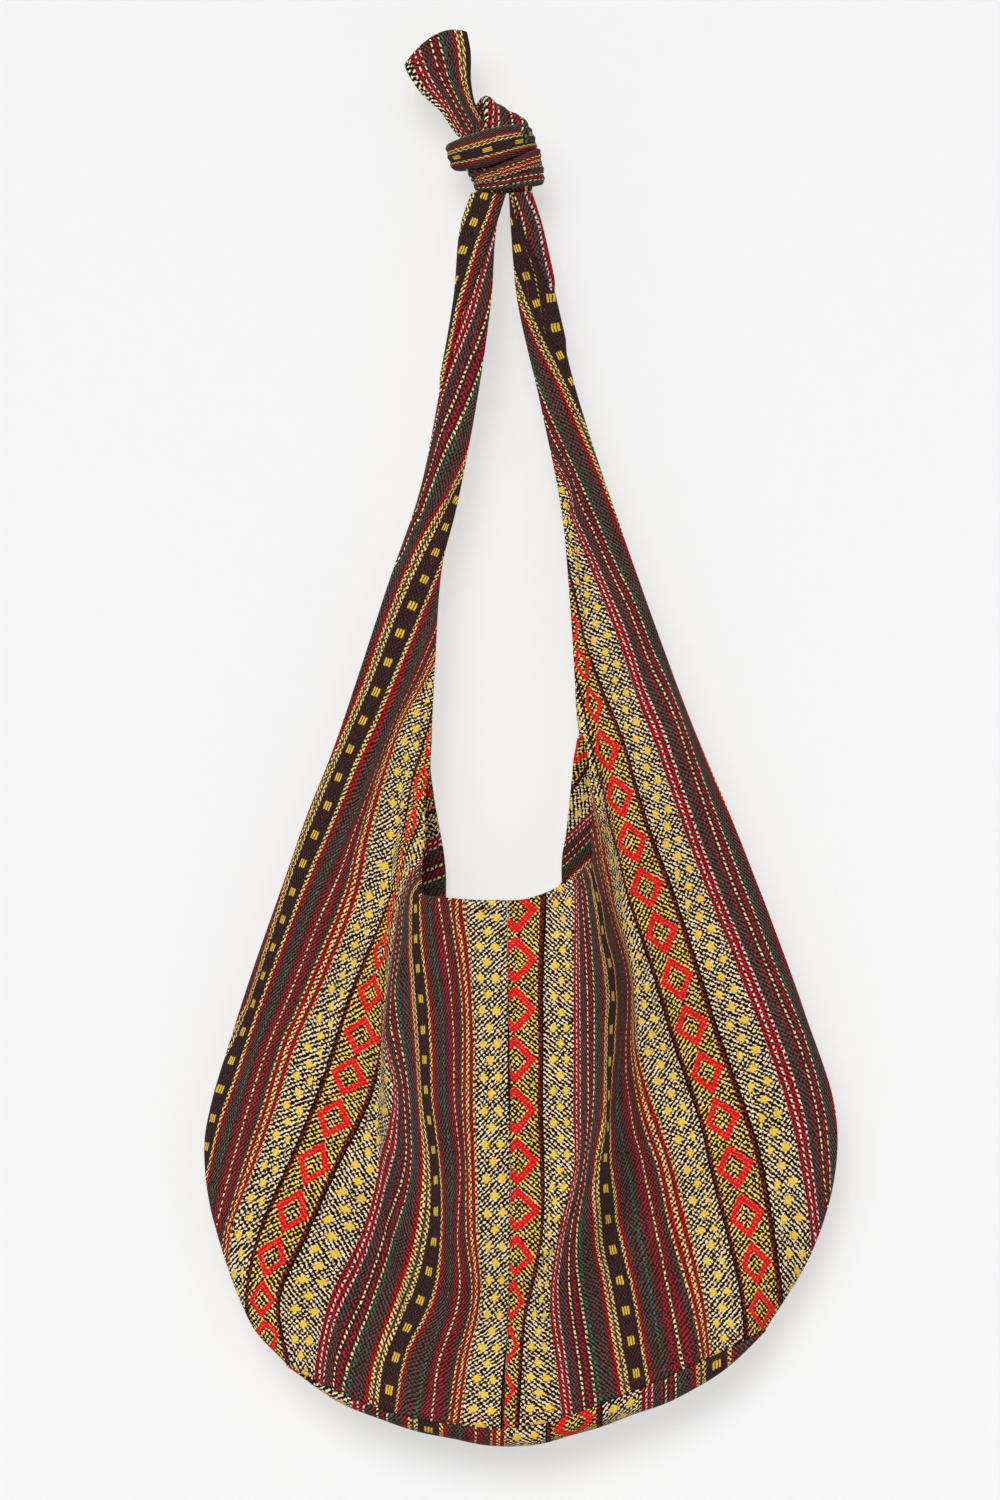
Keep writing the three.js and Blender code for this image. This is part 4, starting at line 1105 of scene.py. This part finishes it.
# Band between the wraps, which narrows to the left, and strand over the top: middle lines, sizes, yarns
BAND_HALF_WIDTH, BAND_HALF_THICK, BAND_NARROW, BAND_YARNS = 5.6, 2.6, 0.55, (100, 114)
TOP_HALF_WIDTH, TOP_HALF_THICK, TOP_AXIS, TOP_YARNS = 14.5, 3.2, (0.84, 0, -0.54), (33, 55)
BAND_LINE = [(-19, -6, 8), (-16, -14, 9), (-8, -19, 11.5), (2, -20.5, 15), (12, -18, 19), (20, -8, 23)]
TOP_LINE = [
    (-12, 13, 37), (-9, 9, 48), (-4.5, 0, 53.5), (-2, -7.5, 49.5), (-0.5, -11, 42), (0, -9, 33), (0, -6, 28),
]


def knot_cloth(material):
    """Tied ends of the arms: a filled core, two wraps, a band between them and the strand over the top."""
    z = np.linspace(CORE_BOTTOM, CORE_TOP, CORE_ROWS)
    size = follow(KNOT_CORE, z)
    spine = np.stack([mix(*CORE_SHIFT, rise(z, 0, 25)), 0 * z, z], -1)
    front = np.tile([0.0, -1.0, 0.0], (len(z), 1))
    core = strand(spine, front, size[:, 0], size[:, 1], CORE_YARNS, False, 61)
    upper, lower = wrap_strand(**UPPER_WRAP), wrap_strand(**LOWER_WRAP)
    band = curve_points(BAND_LINE, 2.0)
    half_width = BAND_HALF_WIDTH * np.linspace(BAND_NARROW, 1.0, len(band))
    middle = strand(band, band * [1, 1, 0] - [0, 0, 2], half_width, BAND_HALF_THICK, BAND_YARNS, False, 66)
    over = curve_points(TOP_LINE, 1.5)
    outward = np.cross(TOP_AXIS, np.gradient(over, axis=0))
    top = strand(over, outward, TOP_HALF_WIDTH, TOP_HALF_THICK, TOP_YARNS, False, 68)
    return strand_mesh("strap_knot_cloth", [core, upper, lower, middle, top], material)


# Outline of the front tail, from the knot to its cut end: rows (share, left x, left z, right x, right z)
TAIL_EDGES = [
    (0, -27, 33, -8, 38), (0.15, -33.5, 39.5, -13, 45), (0.4, -43.5, 54, -20.5, 57),
    (0.65, -55, 64.5, -23.4, 72), (0.85, -63.5, 77, -23.6, 91), (1, -66.3, 84, -26, 104.3),
]
TAIL_ARCH = 8.5
TAIL_ROWS, TAIL_COLUMNS = 50, 26
TAIL_SHIFT = (TAIL_DEPTH + 3 * SEAM_GAP) / 2


def tail_cloth(name, inset, shorter, y, yarns, seed, material):
    """Free end of an arm, folded in two, widening to its cut end."""
    t = np.linspace(0, 1, TAIL_ROWS)[:, None]
    front_s = np.sin(np.linspace(0, np.pi / 2, TAIL_COLUMNS))
    s = np.concatenate([front_s, front_s[-2::-1]])[None]
    is_front = np.arange(s.shape[1])[None] < len(front_s)
    left_x, left_z, right_x, right_z = columns(TAIL_EDGES, t * (1 - shorter))
    width = np.hypot(right_x - left_x, right_z - left_z)
    share = mix(inset / width, 1 - inset / width, 1 - s)
    rounding = np.sqrt(np.maximum(0, 1 - s ** 3)) * np.sqrt(np.minimum(1, 0.25 + 2.2 * s))
    depth = (TAIL_DEPTH - CLOTH) / 2 * rounding
    x = mix(left_x, right_x, share)
    z = mix(left_z, right_z, share) + TAIL_ARCH * rise(t, 0, 0.9) * 4 * share * (1 - share)
    points = np.stack([x, y + np.where(is_front, -depth, depth) + 0 * x, z], -1)
    points[..., 1] += ripples(points, seed, *TAIL_WAVES) * rise(t, 0.2, 0.5)
    on_front = mix(yarns[0], yarns[1], s)
    yarn = np.where(is_front, on_front, 2 * yarns[1] - on_front) + 0 * t
    pick = t * TAIL_LENGTH / PICK + 0 * s
    return cloth_mesh(name, points, yarn, pick, np.ones(yarn.shape, bool), False, material)


# Stitches, in millimetres, and the sides of their thread; they lie this far clear of the cloth
STITCH_SIZES = {"Stitch Pitch": 3.2, "Stitch Length": 2.2, "Thread Radius": 0.28}
THREAD_SIDES = 6
STITCH_CLEAR = 0.1
# Level up to which the arms are stitched, and grid lines from the gusset and the side fold to the seam
STITCHED_TO, SEAM_ROW = 2.9, 2


def stitch_tree():
    """Node tree that lays thread stitches along a line."""
    tree = bpy.data.node_groups.new("row of stitches", "GeometryNodeTree")
    kinds = {"Line": "Geometry", **dict.fromkeys(STITCH_SIZES, "Float"), "Thread": "Material"}
    keys = {}
    for label, kind in kinds.items():
        socket = tree.interface.new_socket(label, in_out="INPUT", socket_type="NodeSocket" + kind)
        keys[label] = socket.identifier
    tree.interface.new_socket("Stitches", in_out="OUTPUT", socket_type="NodeSocketGeometry")
    new = tree.nodes.new
    given, result = new("NodeGroupInput"), new("NodeGroupOutput")
    curve, steps = new("GeometryNodeMeshToCurve"), new("GeometryNodeResampleCurve")
    steps.mode = "LENGTH"
    places = new("GeometryNodeCurveToPoints")
    places.mode = "EVALUATED"
    stitch = new("GeometryNodeMeshCylinder")
    stitch.inputs["Vertices"].default_value = THREAD_SIDES
    lay = new("GeometryNodeInstanceOnPoints")
    whole, paint = new("GeometryNodeRealizeInstances"), new("GeometryNodeSetMaterial")
    for source, output, target, entry in (
        (given, "Line", curve, "Mesh"), (curve, "Curve", steps, "Curve"),
        (given, "Stitch Pitch", steps, "Length"), (steps, "Curve", places, "Curve"),
        (given, "Stitch Length", stitch, "Depth"), (given, "Thread Radius", stitch, "Radius"),
        (places, "Points", lay, "Points"), (places, "Rotation", lay, "Rotation"),
        (stitch, "Mesh", lay, "Instance"), (lay, "Instances", whole, "Geometry"),
        (whole, "Geometry", paint, "Geometry"), (given, "Thread", paint, "Material"),
        (paint, "Geometry", result, "Stitches"),
    ):
        tree.links.new(source.outputs[output], target.inputs[entry])
    return tree, keys


def stitch_row(name, tree, keys, lines, thread):
    """Rows of stitches along lines of points in millimetres, as one plain mesh."""
    verts, edges = [], []
    for line in lines:
        edges.extend((len(verts) + k, len(verts) + k + 1) for k in range(len(line) - 1))
        verts.extend((np.array(line) * MM).tolist())
    mesh = bpy.data.meshes.new(name + "_line")
    mesh.from_pydata(verts, edges, [])
    line_guide = add_piece(name + "_line", mesh)
    rule = line_guide.modifiers.new("stitches", "NODES")
    rule.node_group = tree
    for label, size in STITCH_SIZES.items():
        rule[keys[label]] = size * MM
    rule[keys["Thread"]] = thread
    bpy.context.view_layer.update()
    ready = line_guide.evaluated_get(bpy.context.evaluated_depsgraph_get())
    sewn = bpy.data.meshes.new_from_object(ready)
    sewn.name = name
    sewn.polygons.foreach_set("use_smooth", np.ones(len(sewn.polygons), bool))
    bpy.data.objects.remove(line_guide)
    return add_piece(name, sewn)


def edge_stitches(half, points, from_edge):
    """Line of stitches beside the mouth and the inner edge of the arm, and below the rim, on the front."""
    level = half_rows()
    front_s, _ = half_columns()
    lifted = points + grid_normals(points) * half["side"] * (CLOTH / 2 + STITCH_CLEAR)
    width = front_width(half, level)
    side_line = []
    for r in np.flatnonzero((level > 1.0) & (level < STITCHED_TO)):
        at = from_edge / width[r]
        side_line.append([np.interp(at, front_s, lifted[r, :len(front_s), k]) for k in range(3)])
    rim_row = int(np.argmin(np.abs(level - (1 - from_edge / (DROP - RIM_DROP)))))
    rim_line = lifted[rim_row, :int(np.argmin(np.abs(front_s))) + 1]
    return [np.array(side_line), rim_line]


def gusset_seam(points):
    """Line just above the gusset on the front of a half."""
    front_s, _ = half_columns()
    line = points[SEAM_ROW, :len(front_s) - SEAM_ROW].copy()
    line[:, 1] -= CLOTH / 2 + STITCH_CLEAR
    return line


def finish_piece(piece, *nodes):
    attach(piece, "root")
    if nodes:
        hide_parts(*nodes)


cloth = woven_cloth()
thread = sewing_thread()
left_half, left_points = half_cloth("left_half_cloth", LEFT, cloth)
right_half, right_points = half_cloth("right_half_cloth", RIGHT, cloth)
left_turn = turned_edge("left_arm_turned_edge", LEFT, LEFT_TURN, 1, cloth)
right_turn = turned_edge("right_arm_turned_edge", RIGHT, RIGHT_TURN, 1, cloth)
right_second_turn = turned_edge("right_arm_second_edge", RIGHT, RIGHT_SECOND_TURN, 2, cloth)
left_hem = mouth_hem("left_mouth_hem", LEFT, cloth)
right_hem = mouth_hem("right_mouth_hem", RIGHT, cloth)
gusset = gusset_cloth(cloth)
knot = knot_cloth(cloth)
left_tail = tail_cloth(
    "left_tail_cloth", inset=0, shorter=0, y=-TAIL_SHIFT, yarns=(71, 31), seed=41, material=cloth,
)
right_tail = tail_cloth(
    "right_tail_cloth", inset=2.5, shorter=0.05, y=TAIL_SHIFT, yarns=(120, 86), seed=43, material=cloth,
)
edges = [left_turn, right_turn, right_second_turn, left_hem, right_hem]
for piece in (left_half, right_half, *edges, gusset, left_tail, right_tail):
    give_thickness(piece, CLOTH - CLOTH_SHY)

tree, keys = stitch_tree()
stitches = {}
for name, half, points in (("left", LEFT, left_points), ("right", RIGHT, right_points)):
    lines = [*edge_stitches(half, points, HEM - HEM_EDGE), gusset_seam(points)]
    stitches[name] = stitch_row(name + "_hem_stitches", tree, keys, lines, thread)

finish_piece(left_half, "left_half")
finish_piece(right_half, "right_half")
finish_piece(gusset, "bottom_gusset")
finish_piece(knot, "strap_knot")
finish_piece(left_tail, "left_tail")
finish_piece(right_tail, "right_tail")
for added in (*edges, *stitches.values()):
    finish_piece(added)


def plane(name, corners, material):
    mesh = bpy.data.meshes.new(name)
    mesh.from_pydata(corners, [], [tuple(range(len(corners)))])
    mesh.materials.append(material)
    return add_piece(name, mesh)


def seen_rays(n):
    """1 where something is seen straight on, mirrored or through glass, 0 where it only lights."""
    ray = n.new("ShaderNodeLightPath").outputs
    shown = n.math("MAXIMUM", ray["Is Glossy Ray"], ray["Is Transmission Ray"])
    return n.math("MAXIMUM", ray["Is Camera Ray"], shown)


def pale_paint(name, grey, plain):
    """Matt paint that shows from its front only; seen straight on, part of it is plain pale colour."""
    material = bpy.data.materials.new(name)
    n = Nodes(material)
    colour = (grey, grey, grey, 1.0)
    n.put(n.shader.inputs, {"Base Color": colour, "Roughness": 1.0, "Specular IOR Level": 0.0})
    pale = n.new("ShaderNodeEmission", {"Color": colour})
    clear = n.new("ShaderNodeBsdfTransparent")
    behind = n.new("ShaderNodeNewGeometry").outputs["Backfacing"]
    share = n.math("MULTIPLY", seen_rays(n), plain)
    front = n.new("ShaderNodeMixShader", {0: share, 1: n.shader.outputs[0], 2: pale.outputs[0]})
    both = n.new("ShaderNodeMixShader", {0: behind, 1: front.outputs[0], 2: clear.outputs[0]})
    n.put(n.tree.nodes["Material Output"].inputs, {"Surface": both.outputs[0]})
    return material


# Stage, in metres: half its width, the backdrop's place and the floor's height
STAGE, BACKDROP_Y, FLOOR_Z = 3, 0.04, -0.95
CORNERS = [(-STAGE, -STAGE), (STAGE, -STAGE), (STAGE, STAGE), (-STAGE, STAGE)]
backdrop_paint = pale_paint("backdrop_paint", 0.92, 0.6)
floor_paint = pale_paint("floor_paint", 0.5, 0.0)
backdrop = plane("backdrop", [(x, BACKDROP_Y, z) for x, z in CORNERS], backdrop_paint)
floor = plane("floor", [(x, y, FLOOR_Z) for x, y in CORNERS], floor_paint)
backdrop.visible_shadow = False

# Lamps: name, direction of their light, strength, angle in degrees
LAMPS = [
    ("key", (0.13, 1.0, -0.45), 1.8, 24), ("side_left", (0.5, 1.0, -0.35), 0.5, 20),
    ("side_right", (-0.5, 1.0, -0.35), 0.28, 20), ("back_left", (0.5, -1.0, -0.4), 1.15, 30),
    ("back_right", (-0.5, -1.0, -0.4), 1.15, 30),
]
# Strength of the light from all round: as light, and as it is seen
ROUND_LIGHT, ROUND_SEEN = 0.17, 0.9


def sun(name, towards, strength, angle):
    """Soft distant lamp that shines along a direction."""
    lamp = bpy.data.lights.new(name, "SUN")
    lamp.energy, lamp.angle = strength, math.radians(angle)
    z = -np.array(towards, float) / np.linalg.norm(towards)
    x = np.cross([0.0, 0.0, 1.0], z)
    x /= np.linalg.norm(x)
    turned = np.column_stack([x, np.cross(z, x), z])
    add_piece(name, lamp).matrix_world = Matrix(turned.tolist()).to_4x4()


def soft_world():
    """Weak even light from all round, which is itself seen as pale."""
    world = bpy.data.worlds.new("soft_world")
    n = Nodes(world, "Background")
    bright = n.new("ShaderNodeMapRange", {"Value": seen_rays(n), "To Min": ROUND_LIGHT, "To Max": ROUND_SEEN})
    n.put(n.shader.inputs, {"Color": (1, 1, 1, 1), "Strength": bright.outputs[0]})
    return world


scene = bpy.context.scene
scene.world = soft_world()
for lamp in LAMPS:
    sun(*lamp)

# Camera: distance, height of the frame and place of its middle, in metres, and sensor in millimetres
CAMERA_AWAY, FRAME_HIGH = 5.0, 0.975
FRAME_X, FRAME_Z = -0.00455, -0.362
SENSOR = 36.0
camera = bpy.data.cameras.new("camera")
camera.sensor_fit = "VERTICAL"
camera.sensor_height = SENSOR
camera.lens = SENSOR * CAMERA_AWAY / FRAME_HIGH
viewer = add_piece("camera", camera)
viewer.location = (FRAME_X, -CAMERA_AWAY, FRAME_Z)
viewer.rotation_euler = (math.radians(90), 0, 0)
scene.camera = viewer
scene.view_settings.view_transform = "Standard"
